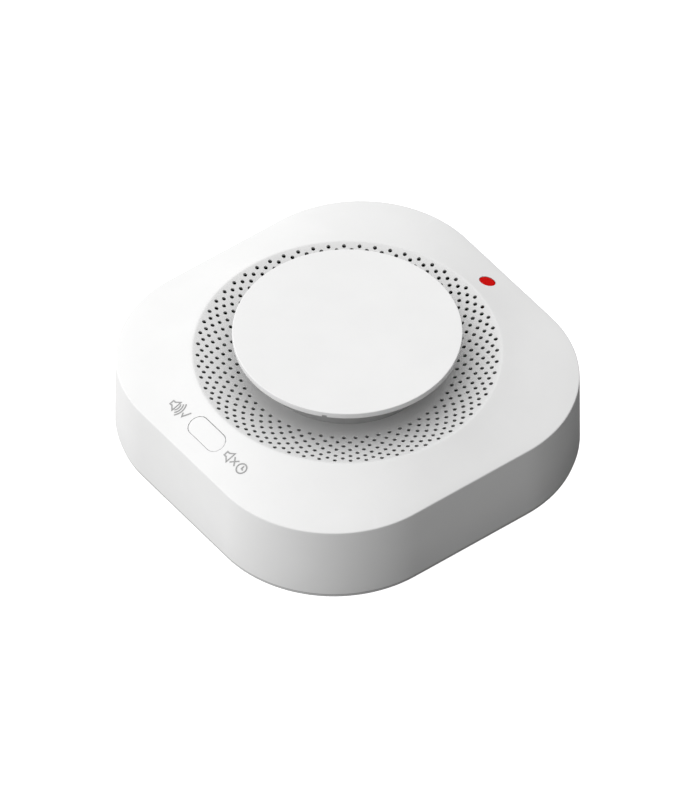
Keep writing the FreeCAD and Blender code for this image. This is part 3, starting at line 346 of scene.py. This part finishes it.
def cover_section(angle):
    """The cover's section in one direction, from the wall's foot up to the rim: a list of
    (outside, inside) points, each a vector of radius and height."""
    edge = Vector((outline_radius(angle, HALF_SIDE, CORNER_RADIUS), EDGE_HEIGHT))
    foot_half, foot_corner = HALF_SIDE + WALL_DRAFT, CORNER_RADIUS + WALL_DRAFT
    foot = Vector((outline_radius(angle, foot_half, foot_corner), BOTTOM))
    rim = Vector((RIM_RADIUS, RIM_HEIGHT))
    in_dish = Vector((RIM_RADIUS - RIM_ROUND, dish_height(RIM_RADIUS - RIM_ROUND)))
    inner_foot = foot - Vector((WALL, 0))
    inner_rise = SLOPE_RISE * WALL / (HALF_SIDE - RIM_RADIUS)
    inner_edge = edge + Vector((-WALL, inner_rise - TOP_DROP))
    inner_rim = rim - Vector((0, TOP_DROP))
    under_dish = in_dish - Vector((0, DISH_THICKNESS))
    outward = Vector((MM, 0))
    section = list(
        zip(
            rounded(foot - outward, foot, edge, FOOT_ROUND, FOOT_STEPS),
            rounded(inner_foot + outward, inner_foot, inner_edge, FOOT_ROUND, FOOT_STEPS),
        )
    )
    section.append((blend(foot, edge, 0.5), blend(inner_foot, inner_edge, 0.5)))
    section += zip(
        rounded(foot, edge, rim, EDGE_ROUND, EDGE_STEPS),
        rounded(inner_foot, inner_edge, inner_rim, EDGE_ROUND, EDGE_STEPS),
    )
    for share in SLOPE_SHARES:
        section.append((blend(edge, rim, share), blend(inner_edge, inner_rim, share)))
    section += zip(
        rounded(edge, rim, in_dish, RIM_ROUND, RIM_STEPS),
        rounded(inner_edge, inner_rim, under_dish, RIM_ROUND, RIM_STEPS),
    )
    return section


def make_cover_shell():
    shell = Shell()
    rows = []
    sections = [cover_section(column_angle(column)) for column in range(COLUMNS)]
    for row in range(len(sections[0])):
        loop = []
        for column, section in enumerate(sections):
            outer, inner = section[row]
            angle = column_angle(column)
            loop.append(shell.vertex(polar_point(angle, *outer), polar_point(angle, *inner)))
        rows.append(loop)
    shell.openings.append(rows[0])
    # the button's and the lens's blocks lie between the slope's first row and its last one
    last = len(rows) - RIM_STEPS - 2
    first = last - len(SLOPE_SHARES) + 1
    blocks = (
        (3 * COLUMNS // 4, BUTTON_BLOCK, button_opening),
        (COLUMNS // 4, LENS_BLOCK, lens_opening),
    )
    left_out = {
        (row, (middle + offset) % COLUMNS)
        for middle, reach, _ in blocks
        for row in range(first, last)
        for offset in range(-reach, reach)
    }
    for row in range(len(rows) - 1):
        quads = strip(rows[row], rows[row + 1])
        shell.faces += [quad for column, quad in enumerate(quads) if (row, column) not in left_out]
    for middle, reach, opening in blocks:
        add_opening(shell, rows[first : last + 1], middle, reach, opening)
    inner_hem = add_hole_zone(shell, rows[-1])
    add_dish_middle(shell, inner_hem)
    return shell.shape()


def lens_opening(turn):
    """The point of the lens's opening that lies in direction turn from its middle."""
    reach = LENS_RADIUS + LENS_GAP
    return reach * math.cos(turn), LENS_Y + reach * math.sin(turn)


def button_opening(turn):
    """The same for the button's stadium."""
    radius = BUTTON_WIDTH / 2 + BUTTON_GAP
    hub = (BUTTON_LENGTH - BUTTON_WIDTH) / 2
    cosine, sine = math.cos(turn), math.sin(turn)
    if abs(cosine) * radius <= hub * abs(sine):
        distance = radius / abs(sine)
    else:
        along = hub * abs(cosine)
        distance = along + math.sqrt(along**2 - hub**2 + radius**2)
    return distance * cosine, BUTTON_Y + distance * sine


def add_opening(shell, rows, middle, reach, opening):
    """Fills a block of the slope from its border in to an opening."""
    columns = [(middle + offset) % COLUMNS for offset in range(-reach, reach + 1)]
    border = [rows[0][column] for column in columns]
    border += [row[columns[-1]] for row in rows[1:]]
    border += [rows[-1][column] for column in reversed(columns[:-1])]
    border += [row[columns[0]] for row in reversed(rows[1:-1])]
    centre_y = opening(0.0)[1]
    previous = border
    for share in OPENING_SHARES:
        loop = []
        for index in border:
            start = shell.outside[index]
            target_x, target_y = opening(math.atan2(start.y - centre_y, start.x))
            x, y = blend(start.x, target_x, share), blend(start.y, target_y, share)
            outer = Vector((x, y, slope_height(x, y)))
            loop.append(shell.vertex(outer, outer - Vector((0, 0, TOP_DROP))))
        shell.faces += strip(previous, loop)
        previous = loop
    shell.openings.append(previous)


def dish_vertex(shell, angle, radius):
    height = dish_height(radius)
    outer = polar_point(angle, radius, height)
    return shell.vertex(outer, outer - Vector((0, 0, DISH_THICKNESS)))


def add_hole_zone(shell, outer_loop):
    """The perforated band: a diamond of mesh round each hole, and a plain hem on both sides."""
    radii = ring_radii()
    outermost = radii[0] + HOLE_RADIUS + HEM
    innermost = radii[-1] - HOLE_RADIUS - HEM
    levels = [outermost, *radii, innermost]
    steps = HALF_PITCH_STEPS
    seen = {}

    def shared(column, level):
        """The one vertex at a mesh column and a level, which may lie between two rings."""
        key = (column % COLUMNS, round(level * steps))
        if key not in seen:
            whole = min(int(level), len(levels) - 2)
            radius = blend(levels[whole], levels[whole + 1], level - whole)
            seen[key] = dish_vertex(shell, column_angle(column), radius)
        return seen[key]

    def hem_level(column, ring, outward):
        """Level of the diamonds' free corners along the first or the last ring."""
        turned = (column - steps * ((ring - 1) % 2)) % (2 * steps)
        from_hole = min(turned, 2 * steps - turned) / steps
        return ring - outward * (1 - from_hole)

    for ring in range(1, RINGS + 1):
        for hole in range(HOLES_IN_A_RING):
            column = steps * (2 * hole + (ring - 1) % 2)
            border = []
            for across, outward in ((1, 0), (0, 1), (-1, 0), (0, -1)):
                for step in range(steps):
                    share = step / steps
                    offset = round(steps * blend(across, -outward, share))
                    level = ring - blend(outward, across, share)
                    border.append(shared(column + offset, level))
            add_hole(shell, border, column_angle(column), levels[ring])
    outer_hem = [shared(column, hem_level(column, 1, 1)) for column in range(COLUMNS)]
    inner_hem = [shared(column, hem_level(column, RINGS, -1)) for column in range(COLUMNS)]
    shell.faces += strip(outer_loop, outer_hem)
    return inner_hem


def add_hole(shell, border, angle, radius):
    """Mesh from a border in to a hole: a small chamfer, a short land, and a flare below it."""
    outward = polar_point(angle, 1.0, 0.0)
    across = Vector((-outward.y, outward.x, 0))
    middle = outward * radius
    count = len(border)
    previous = border
    rings = (
        (HOLE_RADIUS + HOLE_CHAMFER, 0.0, HOLE_FLARE + 2 * HOLE_CHAMFER),
        (HOLE_RADIUS, HOLE_CHAMFER, HOLE_FLARE + HOLE_CHAMFER),
        (HOLE_RADIUS, HOLE_LAND, HOLE_FLARE),
    )
    for upper_radius, depth, lower_radius in rings:
        loop = []
        for step in range(count):
            turn = 2 * math.pi * step / count
            spoke = across * math.cos(turn) + outward * math.sin(turn)
            upper, lower = middle + spoke * upper_radius, middle + spoke * lower_radius
            upper.z = dish_height(upper.length) - depth
            lower.z = dish_height(lower.length) - DISH_THICKNESS
            loop.append(shell.vertex(upper, lower))
        shell.faces += strip(previous, loop)
        previous = loop
    shell.openings.append(previous)


def add_dish_middle(shell, inner_hem):
    """The plain middle of the dish, in to the neck's opening."""
    outer = ring_radii()[-1] - HOLE_RADIUS - 2 * HEM
    previous = inner_hem
    for row in range(DISH_ROWS + 1):
        radius = blend(outer, NECK_OPENING, row / DISH_ROWS)
        loop = [dish_vertex(shell, column_angle(column), radius) for column in range(COLUMNS)]
        shell.faces += strip(previous, loop)
        previous = loop
    shell.openings.append(previous)


def screw_boss(x, y):
    profile = [
        (0, BORE_TOP),
        (BOSS_BORE, BORE_TOP),
        (BOSS_BORE, BOSS_BOTTOM),
        (BOSS_RADIUS, BOSS_BOTTOM),
        (BOSS_RADIUS, BOSS_TOP),
        (0, BOSS_TOP),
    ]
    return lathe(profile, BOSS_STEPS, centre=(x, y))


def guide_sleeve():
    """The wall under the cover that the button slides in."""
    into_skin = above_slope(-TOP_DROP / 2)
    rows = [
        (BUTTON_GAP, GUIDE_BOTTOM),
        (BUTTON_GAP + GUIDE_WALL, GUIDE_BOTTOM),
        (BUTTON_GAP + GUIDE_WALL, into_skin),
        (BUTTON_GAP, into_skin),
    ]
    return plug(button_outline, rows, is_ring=True)


def make_cover():
    sides = (-BOSS_PLACE, BOSS_PLACE)
    bosses = [screw_boss(x, y) for x in sides for y in sides]
    shape = merged(make_cover_shell(), guide_sleeve(), *bosses)
    cover = new_piece("cover_skin", shape, "alarm", WHITE)
    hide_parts("front_cover")


# Disc, button, lens.


def make_disc():
    """A crowned disc with rounded edges, a locating ring and a small notch in its rim."""
    top, bottom = disc_high.z, disc_high.z - DISC_CROWN - DISC_RIM
    crown_arc = (DISC_RADIUS**2 + DISC_CROWN**2) / (2 * DISC_CROWN)
    edge = Vector((DISC_RADIUS, top - DISC_CROWN))
    under = Vector((DISC_RADIUS, bottom))
    profile = [(0, top)]
    for step in range(1, CROWN_STEPS + 1):
        radius = (DISC_RADIUS - 2 * DISC_EDGE_ROUND) * step / CROWN_STEPS
        profile.append((radius, top - crown_arc + math.sqrt(crown_arc**2 - radius**2)))
    crown_end = Vector(profile[-1])
    profile += rounded(crown_end, edge, under, DISC_EDGE_ROUND, DISC_EDGE_STEPS)
    notch_top = bottom + NOTCH_HEIGHT
    profile += [(DISC_RADIUS, notch_top + NOTCH_LEDGE), (DISC_RADIUS, notch_top)]
    inward = under - Vector((MM, 0))
    profile += rounded(edge, under, inward, DISC_FOOT_ROUND, FOOT_STEPS)
    profile += [
        (SPIGOT_OUTER, bottom),
        (SPIGOT_OUTER, disc_low.z),
        (SPIGOT_INNER, disc_low.z),
        (SPIGOT_INNER, bottom),
        (0, bottom),
    ]
    vertices, faces = lathe(profile, DISC_STEPS)
    for vertex in vertices:
        cut_notch(vertex, bottom)
    disc = new_piece("disc_skin", (vertices, faces), "alarm", WHITE)
    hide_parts("disc_cap")


def cut_notch(vertex, bottom):
    """Moves the low part of the rim in where the notch is."""
    turned = math.atan2(vertex.y, vertex.x) - NOTCH_ANGLE
    is_in_notch = abs(turned) * DISC_RADIUS < NOTCH_WIDTH / 2
    is_on_rim = vertex.xy.length > DISC_RADIUS - DISC_EDGE_ROUND
    is_low = vertex.z - bottom < NOTCH_HEIGHT + NOTCH_LEDGE / 2
    if is_in_notch and is_on_rim and is_low:
        vertex.xy = vertex.xy * (1 - NOTCH_DEPTH / DISC_RADIUS)


def button_outline(grow):
    """Points round the button's stadium when it is grown evenly, from its +X end."""
    end = (BUTTON_LENGTH - BUTTON_WIDTH) / 2
    quarter = [math.pi / 2 * step / BUTTON_END_STEPS for step in range(BUTTON_END_STEPS + 1)]
    half = [(end, turn) for turn in quarter]
    for step in range(1, BUTTON_SIDE_STEPS):
        half.append((end * (1 - 2 * step / BUTTON_SIDE_STEPS), math.pi / 2))
    half += [(-end, math.pi / 2 + turn) for turn in quarter]
    places = half + [(hub, -turn) for hub, turn in reversed(half[1:-1])]
    reach = BUTTON_WIDTH / 2 + grow
    return [
        (hub + reach * math.cos(turn), BUTTON_Y + reach * math.sin(turn)) for hub, turn in places
    ]


def lens_outline(grow):
    """Points round the lens when it is grown evenly."""
    turns = [2 * math.pi * step / LENS_STEPS for step in range(LENS_STEPS)]
    reach = LENS_RADIUS + grow
    return [(reach * math.cos(turn), LENS_Y + reach * math.sin(turn)) for turn in turns]


PLUG_EDGE_STEPS = 5
PLUG_TOP_SHARES = (0.3, 0.55, 0.8)


def plug_rows(bottom, flange, flange_top, edge_round, half_width):
    """Rows of a flanged plug whose rounded top follows the slope, a little below it."""
    rows = [(flange, bottom), (flange, flange_top), (0, flange_top)]
    for step in range(PLUG_EDGE_STEPS + 1):
        turn = math.pi / 2 * step / PLUG_EDGE_STEPS
        rise = -PLUG_DROP - edge_round * (1 - math.sin(turn))
        rows.append((-edge_round * (1 - math.cos(turn)), above_slope(rise)))
    for share in PLUG_TOP_SHARES:
        rows.append((-blend(edge_round, half_width, share), above_slope(-PLUG_DROP)))
    return rows


def make_button():
    rows = plug_rows(button_low.z, BRIM, BUTTON_FLANGE_TOP, BUTTON_ROUND, BUTTON_WIDTH / 2)
    shape = plug(button_outline, rows)
    button = new_piece("button_skin", shape, "button", WHITE)
    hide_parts("test_button")


def make_lens():
    rows = plug_rows(lens_low.z, LENS_FLANGE, LENS_FLANGE_TOP, LENS_ROUND, LENS_RADIUS)
    lens = new_piece("lens_skin", plug(lens_outline, rows), "alarm", RED)
    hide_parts("led_lens")


# Legends.


def stroke(path, is_closed=False):
    """A raised line of even width that lies on the slope, along a path of (x, y) points."""
    count = len(path)
    half = STROKE_WIDTH / 2
    bevel = STROKE_RISE / 2
    section = (
        (-half, -STROKE_SINK),
        (-half, STROKE_RISE - bevel),
        (-half + bevel, STROKE_RISE),
        (half - bevel, STROKE_RISE),
        (half, STROKE_RISE - bevel),
        (half, -STROKE_SINK),
    )
    vertices, faces, loops = [], [], []
    for index, point in enumerate(path):
        before = path[index - 1] if index or is_closed else point
        after = path[(index + 1) % count] if index < count - 1 or is_closed else point
        arriving = (Vector(point) - Vector(before)).normalized()
        leaving = (Vector(after) - Vector(point)).normalized()
        along = (arriving + leaving).normalized()
        straight = leaving if leaving.length else arriving
        mitre = 1 / max(abs(along.dot(straight)), 1 / MITRE_LIMIT)
        side = Vector((along.y, -along.x)) * mitre
        loops.append(range(len(vertices), len(vertices) + len(section)))
        for offset, rise in section:
            place = Vector(point) + side * offset
            vertices.append(Vector((*place, slope_height(*place) + rise)))
    for first, second in zip(loops, loops[1:]):
        faces += strip(first, second)
    if is_closed:
        return vertices, faces + strip(loops[-1], loops[0])
    return vertices, faces + [tuple(loops[0]), tuple(loops[-1])]


def placed(points, x):
    """Points given in millimetres from a picture's left end, on the legends' line."""
    return [(x + across * MM, LEGEND_Y + up * MM) for across, up in points]


def arc_points(centre, radius, start, end, steps=14):
    turns = [math.radians(blend(start, end, step / steps)) for step in range(steps + 1)]
    return [(centre + radius * math.cos(turn), radius * math.sin(turn)) for turn in turns]


def speaker(x):
    outline = [(0, -0.55), (0.75, -0.55), (1.9, -1.4), (1.9, 1.4), (0.75, 0.55), (0, 0.55)]
    return stroke(placed(outline, x), is_closed=True)


def sounding_picture(x):
    """A speaker with three waves, and a tick: press to test."""
    waves = [stroke(placed(arc_points(1.3, radius, -42, 42), x)) for radius in (1.4, 2.1, 2.8)]
    tick = stroke(placed([(4.7, -0.1), (5.3, -0.95), (6.4, 1.1)], x))
    return merged(speaker(x), *waves, tick)


def silent_picture(x):
    """A crossed speaker, and a clock: silent for a while."""
    cross = [
        stroke(placed([(2.6, -0.85), (4.3, 0.85)], x)),
        stroke(placed([(2.6, 0.85), (4.3, -0.85)], x)),
    ]
    dial = stroke(placed(arc_points(6.25, 1.3, 0, 345, 23), x), is_closed=True)
    hands = stroke(placed([(6.25, 0.8), (6.25, 0.0), (6.85, -0.1)], x))
    return merged(speaker(x), *cross, dial, hands)


def make_legends():
    new_piece("legend_test", sounding_picture(LEGEND_LEFT), "alarm", LEGEND_GREY)
    new_piece("legend_silence", silent_picture(LEGEND_RIGHT), "alarm", LEGEND_GREY)


# Materials.

PATCHES = 70.0  # colour drifts this many times to the metre
ROUGH_PATCHES = 5 * PATCHES
FINE_GRAIN = (2600.0, 1.2e-5)  # waves to the metre, and depth in metres
COARSE_GRAIN = (2000.0, 2.5e-5)
PLATED_GRAIN = (1500.0, 8e-6)
ROLLED = (1, 8, 1)  # stretches a pattern along X, as rolling does
# Painted shade: the white plastics are darkened where ambient occlusion within this reach finds
# them shut in, as in the dish under the disc.
PAINTED_SHADE_REACH = 20.0 * MM
PAINTED_SHADE_STOPS = [(0.3, 0.71), (1.0, 1.0)]  # from shut in to open, and how much light is left
SLEEVE_START, BAND_START, SLEEVE_END = 0.012, 0.735, 0.965  # shares of a dry cell's length
MIX_FACTOR, MIX_FIRST, MIX_SECOND, MIX_RESULT = 0, 6, 7, 2  # a Mix node's colour sockets


def new_material(name):
    material = bpy.data.materials.new(name)
    material.use_nodes = True
    return material


def shader_of(material):
    return material.node_tree.nodes["Principled BSDF"]


def object_place(tree, stretch=(1.0, 1.0, 1.0)):
    """Coordinates that are fixed to the object, in metres, stretched along its axes."""
    place = tree.nodes.new("ShaderNodeTexCoord")
    scale = tree.nodes.new("ShaderNodeMapping")
    scale.inputs["Scale"].default_value = stretch
    tree.links.new(place.outputs["Object"], scale.inputs["Vector"])
    return scale.outputs["Vector"]


def noise(tree, scale, detail=4.0, stretch=(1.0, 1.0, 1.0)):
    """Noise with scale waves to the metre."""
    texture = tree.nodes.new("ShaderNodeTexNoise")
    texture.inputs["Scale"].default_value = scale
    texture.inputs["Detail"].default_value = detail
    tree.links.new(object_place(tree, stretch), texture.inputs["Vector"])
    return texture.outputs["Fac"]


def ramp(tree, factor, stops):
    """Turns a factor into a colour; stops are (position, grey or colour)."""
    node = tree.nodes.new("ShaderNodeValToRGB")
    elements = node.color_ramp.elements
    while len(elements) < len(stops):
        elements.new(0.5)
    for element, (position, value) in zip(elements, stops):
        element.position = position
        element.color = (*value, 1.0) if isinstance(value, tuple) else (value, value, value, 1.0)
    tree.links.new(factor, node.inputs["Fac"])
    return node.outputs["Color"]


def mixed(tree, factor, first, second, kind="MIX"):
    """Mixes two colours by a factor, which is a socket or a number."""
    node = tree.nodes.new("ShaderNodeMix")
    node.data_type = "RGBA"
    node.blend_type = kind
    for value, place in ((factor, MIX_FACTOR), (first, MIX_FIRST), (second, MIX_SECOND)):
        if isinstance(value, bpy.types.NodeSocket):
            tree.links.new(value, node.inputs[place])
        else:
            node.inputs[place].default_value = value
    return node.outputs[MIX_RESULT]


def worn_edges(tree):
    """A factor that is high along the object's outward edges."""
    geometry = tree.nodes.new("ShaderNodeNewGeometry")
    return ramp(tree, geometry.outputs["Pointiness"], [(0.52, 0.0), (0.6, 1.0)])


def add_bump(material, height, distance):
    tree = material.node_tree
    bump = tree.nodes.new("ShaderNodeBump")
    bump.inputs["Distance"].default_value = distance
    tree.links.new(height, bump.inputs["Height"])
    tree.links.new(bump.outputs["Normal"], shader_of(material).inputs["Normal"])


def surface(name, colours, roughness, grain=None, metallic=0.0, stretch=(1, 1, 1), wear=None):
    """A moulded or plated surface: drifting colour, varied roughness, grain and worn edges.

    colours and roughness are (low, high); grain is (waves to the metre, depth in metres).
    """
    material = new_material(name)
    tree, shader = material.node_tree, shader_of(material)
    shader.inputs["Metallic"].default_value = metallic
    colour = ramp(tree, noise(tree, PATCHES), [(0.35, colours[0]), (0.65, colours[1])])
    if wear:
        colour = mixed(tree, worn_edges(tree), colour, (*wear, 1.0))
    tree.links.new(colour, shader.inputs["Base Color"])
    drift = noise(tree, ROUGH_PATCHES, stretch=stretch)
    rough = ramp(tree, drift, [(0.3, roughness[0]), (0.7, roughness[1])])
    tree.links.new(rough, shader.inputs["Roughness"])
    if grain:
        waves, depth = grain
        add_bump(material, noise(tree, waves, detail=6.0, stretch=stretch), depth)
    return material


def grey(low, high, tint=(1.0, 1.0, 1.0)):
    """Two colours of one tint, for a surface that drifts between them."""
    return tuple(low * part for part in tint), tuple(high * part for part in tint)


def make_white(name, low, high, grain):
    """White moulded plastic with painted shade: its colour is darkened where ambient occlusion
    finds it shut in.
    """
    colours = grey(low, high, (1.0, 1.0, 0.997))
    material = surface(name, colours, (0.48, 0.58), grain, wear=(high, high, high))
    tree, shader = material.node_tree, shader_of(material)
    clean = shader.inputs["Base Color"].links[0].from_socket
    # painted shade: the colour is multiplied down by ambient occlusion
    recess = tree.nodes.new("ShaderNodeAmbientOcclusion")
    recess.samples = 8
    recess.inputs["Distance"].default_value = PAINTED_SHADE_REACH
    painted_shade = ramp(tree, recess.outputs["AO"], PAINTED_SHADE_STOPS)
    tree.links.new(mixed(tree, 1.0, clean, painted_shade, "MULTIPLY"), shader.inputs["Base Color"])
    return material


def make_red():
    colours = (0.5, 0.002, 0.0015), (0.55, 0.003, 0.002)
    material = surface("red_lens", colours, (0.2, 0.3), (900.0, 5e-6))
    shader_of(material).inputs["Specular IOR Level"].default_value = 0.01
    return material


def make_foam():
    """Open foam: cells as pits of many sizes."""
    material = surface("rubber_foam", grey(0.02, 0.05), (0.85, 0.95))
    tree = material.node_tree
    cells = tree.nodes.new("ShaderNodeTexVoronoi")
    cells.inputs["Scale"].default_value = 2600.0
    tree.links.new(object_place(tree), cells.inputs["Vector"])
    add_bump(material, cells.outputs["Distance"], 1.5e-4)
    return material


def make_solder_mask():
    """A circuit board: green mask over raised tracks that run in bands."""
    material = new_material("solder_mask")
    tree, shader = material.node_tree, shader_of(material)
    tracks = tree.nodes.new("ShaderNodeTexBrick")
    tracks.inputs["Scale"].default_value = 160.0
    tracks.inputs["Mortar Size"].default_value = 0.035
    tracks.inputs["Color1"].default_value = (0.006, 0.07, 0.025, 1)
    tracks.inputs["Color2"].default_value = (0.008, 0.085, 0.03, 1)
    tracks.inputs["Mortar"].default_value = (0.02, 0.17, 0.06, 1)
    tree.links.new(object_place(tree), tracks.inputs["Vector"])
    speckle = ramp(tree, noise(tree, 400.0), [(0.3, (0.85, 0.85, 0.85)), (0.7, (1.0, 1.0, 1.0))])
    colour = mixed(tree, 1.0, tracks.outputs["Color"], speckle, "MULTIPLY")
    tree.links.new(colour, shader.inputs["Base Color"])
    rough = ramp(tree, noise(tree, 300.0), [(0.3, 0.28), (0.7, 0.42)])
    tree.links.new(rough, shader.inputs["Roughness"])
    add_bump(material, tracks.outputs["Fac"], 4e-5)
    return material


def make_cell_jacket(name, positive_x, half_length):
    """A dry cell: steel ends, and a printed sleeve with a band at the positive end."""
    material = surface(name, grey(0.5, 0.6), (0.2, 0.32), (700.0, 4e-6))
    tree, shader = material.node_tree, shader_of(material)
    place = tree.nodes.new("ShaderNodeSeparateXYZ")
    tree.links.new(object_place(tree), place.inputs["Vector"])
    along = tree.nodes.new("ShaderNodeMapRange")
    along.inputs["From Min"].default_value = -half_length * positive_x
    along.inputs["From Max"].default_value = half_length * positive_x
    tree.links.new(place.outputs["X"], along.inputs["Value"])
    steel, dark, band = (0.55, 0.55, 0.56), (0.012, 0.014, 0.02), (0.55, 0.23, 0.06)
    stops = [(0.0, steel), (SLEEVE_START, dark), (BAND_START, band), (SLEEVE_END, steel)]
    sleeve = ramp(tree, along.outputs["Result"], stops)
    bare_stops = [(0.0, 1.0), (SLEEVE_START, 0.0), (SLEEVE_END, 1.0)]
    bare = ramp(tree, along.outputs["Result"], bare_stops)
    for node in (sleeve.node, bare.node):
        node.color_ramp.interpolation = "CONSTANT"
    scuffs = ramp(tree, noise(tree, 500.0), [(0.3, (0.8, 0.8, 0.8)), (0.7, (1.0, 1.0, 1.0))])
    tree.links.new(mixed(tree, 1.0, sleeve, scuffs, "MULTIPLY"), shader.inputs["Base Color"])
    tree.links.new(bare, shader.inputs["Metallic"])
    return material


WHITE = make_white("white_abs", 0.712, 0.728, FINE_GRAIN)
# Painted shade: a darker copy of the white for the rear cover, the bracket and the battery door,
# so the band round the foot reads as shaded.
REAR_SHADED_WHITE = make_white("rear_shaded_white_abs", 0.46, 0.5, COARSE_GRAIN)
# Painted shade: a darker copy of the white for the inlet ring, which lies in the shade under the
# disc.
INLET_SHADED_WHITE = make_white("inlet_shaded_white_abs", 0.4, 0.44, COARSE_GRAIN)
RED = make_red()
# The legends' raised strokes are coloured mid grey, darker than the white cover.
LEGEND_GREY = surface("grey_legend", grey(0.28, 0.33), (0.55, 0.65), (3000.0, 6e-6))
BLACK = surface(
    "black_plastic", grey(0.016, 0.028), (0.42, 0.58), (1800.0, 2e-5), wear=(0.05, 0.05, 0.05)
)
STEEL = surface(
    "plated_steel", grey(0.52, 0.62), (0.24, 0.4), PLATED_GRAIN, metallic=1.0, stretch=ROLLED
)
BRASS_COLOURS = (0.66, 0.44, 0.16), (0.78, 0.54, 0.22)
BRASS = surface(
    "brass", BRASS_COLOURS, (0.26, 0.42), PLATED_GRAIN, metallic=1.0, wear=(0.8, 0.6, 0.3)
)
FOAM = make_foam()
MASK = make_solder_mask()
CERAMIC_COLOURS = (0.34, 0.25, 0.16), (0.46, 0.36, 0.25)
CERAMIC = surface("ceramic_chip", CERAMIC_COLOURS, (0.5, 0.7), (2500.0, 1e-5))

BY_SLOT = {
    "white_shell": WHITE,
    "red_lens": RED,
    "black_plastic": BLACK,
    "steel": STEEL,
    "brass": BRASS,
    "solder_mask": MASK,
    "rubber_foam": FOAM,
    "ceramic_chip": CERAMIC,
}
# Painted shade: darker copies of the white for the parts that lie in shade.
SHADED_COPIES_BY_NAME = {
    "rear_cover": REAR_SHADED_WHITE,
    "mounting_bracket": REAR_SHADED_WHITE,
    "battery_door": REAR_SHADED_WHITE,
    "inlet_ring": INLET_SHADED_WHITE,
}


def finish_nodes():
    """Gives every CAD node its own material, or else that of its slot."""
    for name, node in nodes.items():
        slot = node_slots[name]
        if slot == "cell_jacket":
            low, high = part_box(name)
            # the nub, which is narrower, is at the end that lies further from the middle
            positive_x = 1 if high.x > -low.x else -1
            material = make_cell_jacket(f"{name}_jacket", positive_x, max(high.x, -low.x))
        else:
            material = SHADED_COPIES_BY_NAME.get(name, BY_SLOT[slot])
        for index in range(len(node.material_slots)):
            node.material_slots[index].material = material


# Studio.

CAMERA_AZIMUTH = math.radians(52.73)
CAMERA_ELEVATION = math.radians(45.96)
CAMERA_DISTANCE = 3.6
CAMERA_LENS = 661.0  # in millimetres; long, because the view is nearly parallel
AIM_RIGHT = 0.65 * MM
AIM_UP = -8.53 * MM
STAGE_RADIUS = CAMERA_DISTANCE + 0.12  # just past the camera, because views clip what is far off
STAGE_RINGS = 24
STAGE_SPOKES = 64
STAGE_GREY = (0.8, 0.8, 0.8, 1)
STAGE_ROUGHNESS = 0.9
STAGE_GLOW = 0.95
SKY_LEVEL = 0.710
SKY_TILT = (-0.681, -0.557, 0.722)  # soft light that comes mostly from the left and above


def make_camera():
    """A camera at the viewing angle, aimed a little below the middle of the cover's top."""
    upright = Vector((0, 0, 1))
    level_back = Vector((math.sin(CAMERA_AZIMUTH), -math.cos(CAMERA_AZIMUTH), 0))
    right = upright.cross(level_back)
    sine, cosine = math.sin(CAMERA_ELEVATION), math.cos(CAMERA_ELEVATION)
    back = level_back * cosine + upright * sine
    up = upright * cosine - level_back * sine
    data = bpy.data.cameras.new("camera")
    data.lens = CAMERA_LENS
    camera = bpy.data.objects.new("camera", data)
    bpy.context.scene.collection.objects.link(camera)
    aim = Vector((0, 0, EDGE_HEIGHT)) + right * AIM_RIGHT + up * AIM_UP
    camera.location = aim + back * CAMERA_DISTANCE
    camera.rotation_mode = "QUATERNION"
    camera.rotation_quaternion = (-back).to_track_quat("-Z", "Y")
    bpy.context.scene.camera = camera


def make_stage():
    """A pale floor that curves up into a backdrop; only the camera sees it."""
    profile = [(0, 0)]
    for step in range(STAGE_RINGS):
        turn = math.pi / 2 * step / STAGE_RINGS
        profile.append((STAGE_RADIUS * math.cos(turn), STAGE_RADIUS * math.sin(turn)))
    profile.append((0, STAGE_RADIUS))
    vertices, faces = lathe(profile, STAGE_SPOKES)
    mesh = bpy.data.meshes.new("stage")
    mesh.from_pydata([tuple(vertex) for vertex in vertices], [], faces)
    stage = bpy.data.objects.new("stage", mesh)
    bpy.context.scene.collection.objects.link(stage)
    material = new_material("pale_stage")
    shader = shader_of(material)
    shader.inputs["Base Color"].default_value = STAGE_GREY
    shader.inputs["Roughness"].default_value = STAGE_ROUGHNESS
    shader.inputs["Emission Color"].default_value = (1, 1, 1, 1)
    shader.inputs["Emission Strength"].default_value = STAGE_GLOW
    mesh.materials.append(material)
    stage.visible_diffuse = False
    stage.visible_glossy = False
    stage.visible_transmission = False
    stage.visible_shadow = False


def make_sky():
    """Soft light from all round, whose strength changes evenly from one side to the other."""
    world = bpy.data.worlds.new("sky")
    world.use_nodes = True
    tree = world.node_tree
    place = tree.nodes.new("ShaderNodeTexCoord")
    tilt = tree.nodes.new("ShaderNodeVectorMath")
    tilt.operation = "DOT_PRODUCT"
    tilt.inputs[1].default_value = SKY_TILT
    level = tree.nodes.new("ShaderNodeMath")
    level.operation = "ADD"
    level.inputs[1].default_value = SKY_LEVEL
    floor = tree.nodes.new("ShaderNodeMath")
    floor.operation = "MAXIMUM"
    floor.inputs[1].default_value = 0.0
    background = tree.nodes["Background"]
    background.inputs["Color"].default_value = (1, 1, 1, 1)
    tree.links.new(place.outputs["Generated"], tilt.inputs[0])
    tree.links.new(tilt.outputs["Value"], level.inputs[0])
    tree.links.new(level.outputs[0], floor.inputs[0])
    tree.links.new(floor.outputs[0], background.inputs["Strength"])
    bpy.context.scene.world = world


make_cover()
make_disc()
make_button()
make_lens()
make_legends()
finish_nodes()
make_camera()
make_stage()
make_sky()
bpy.context.scene.view_settings.view_transform = "Standard"
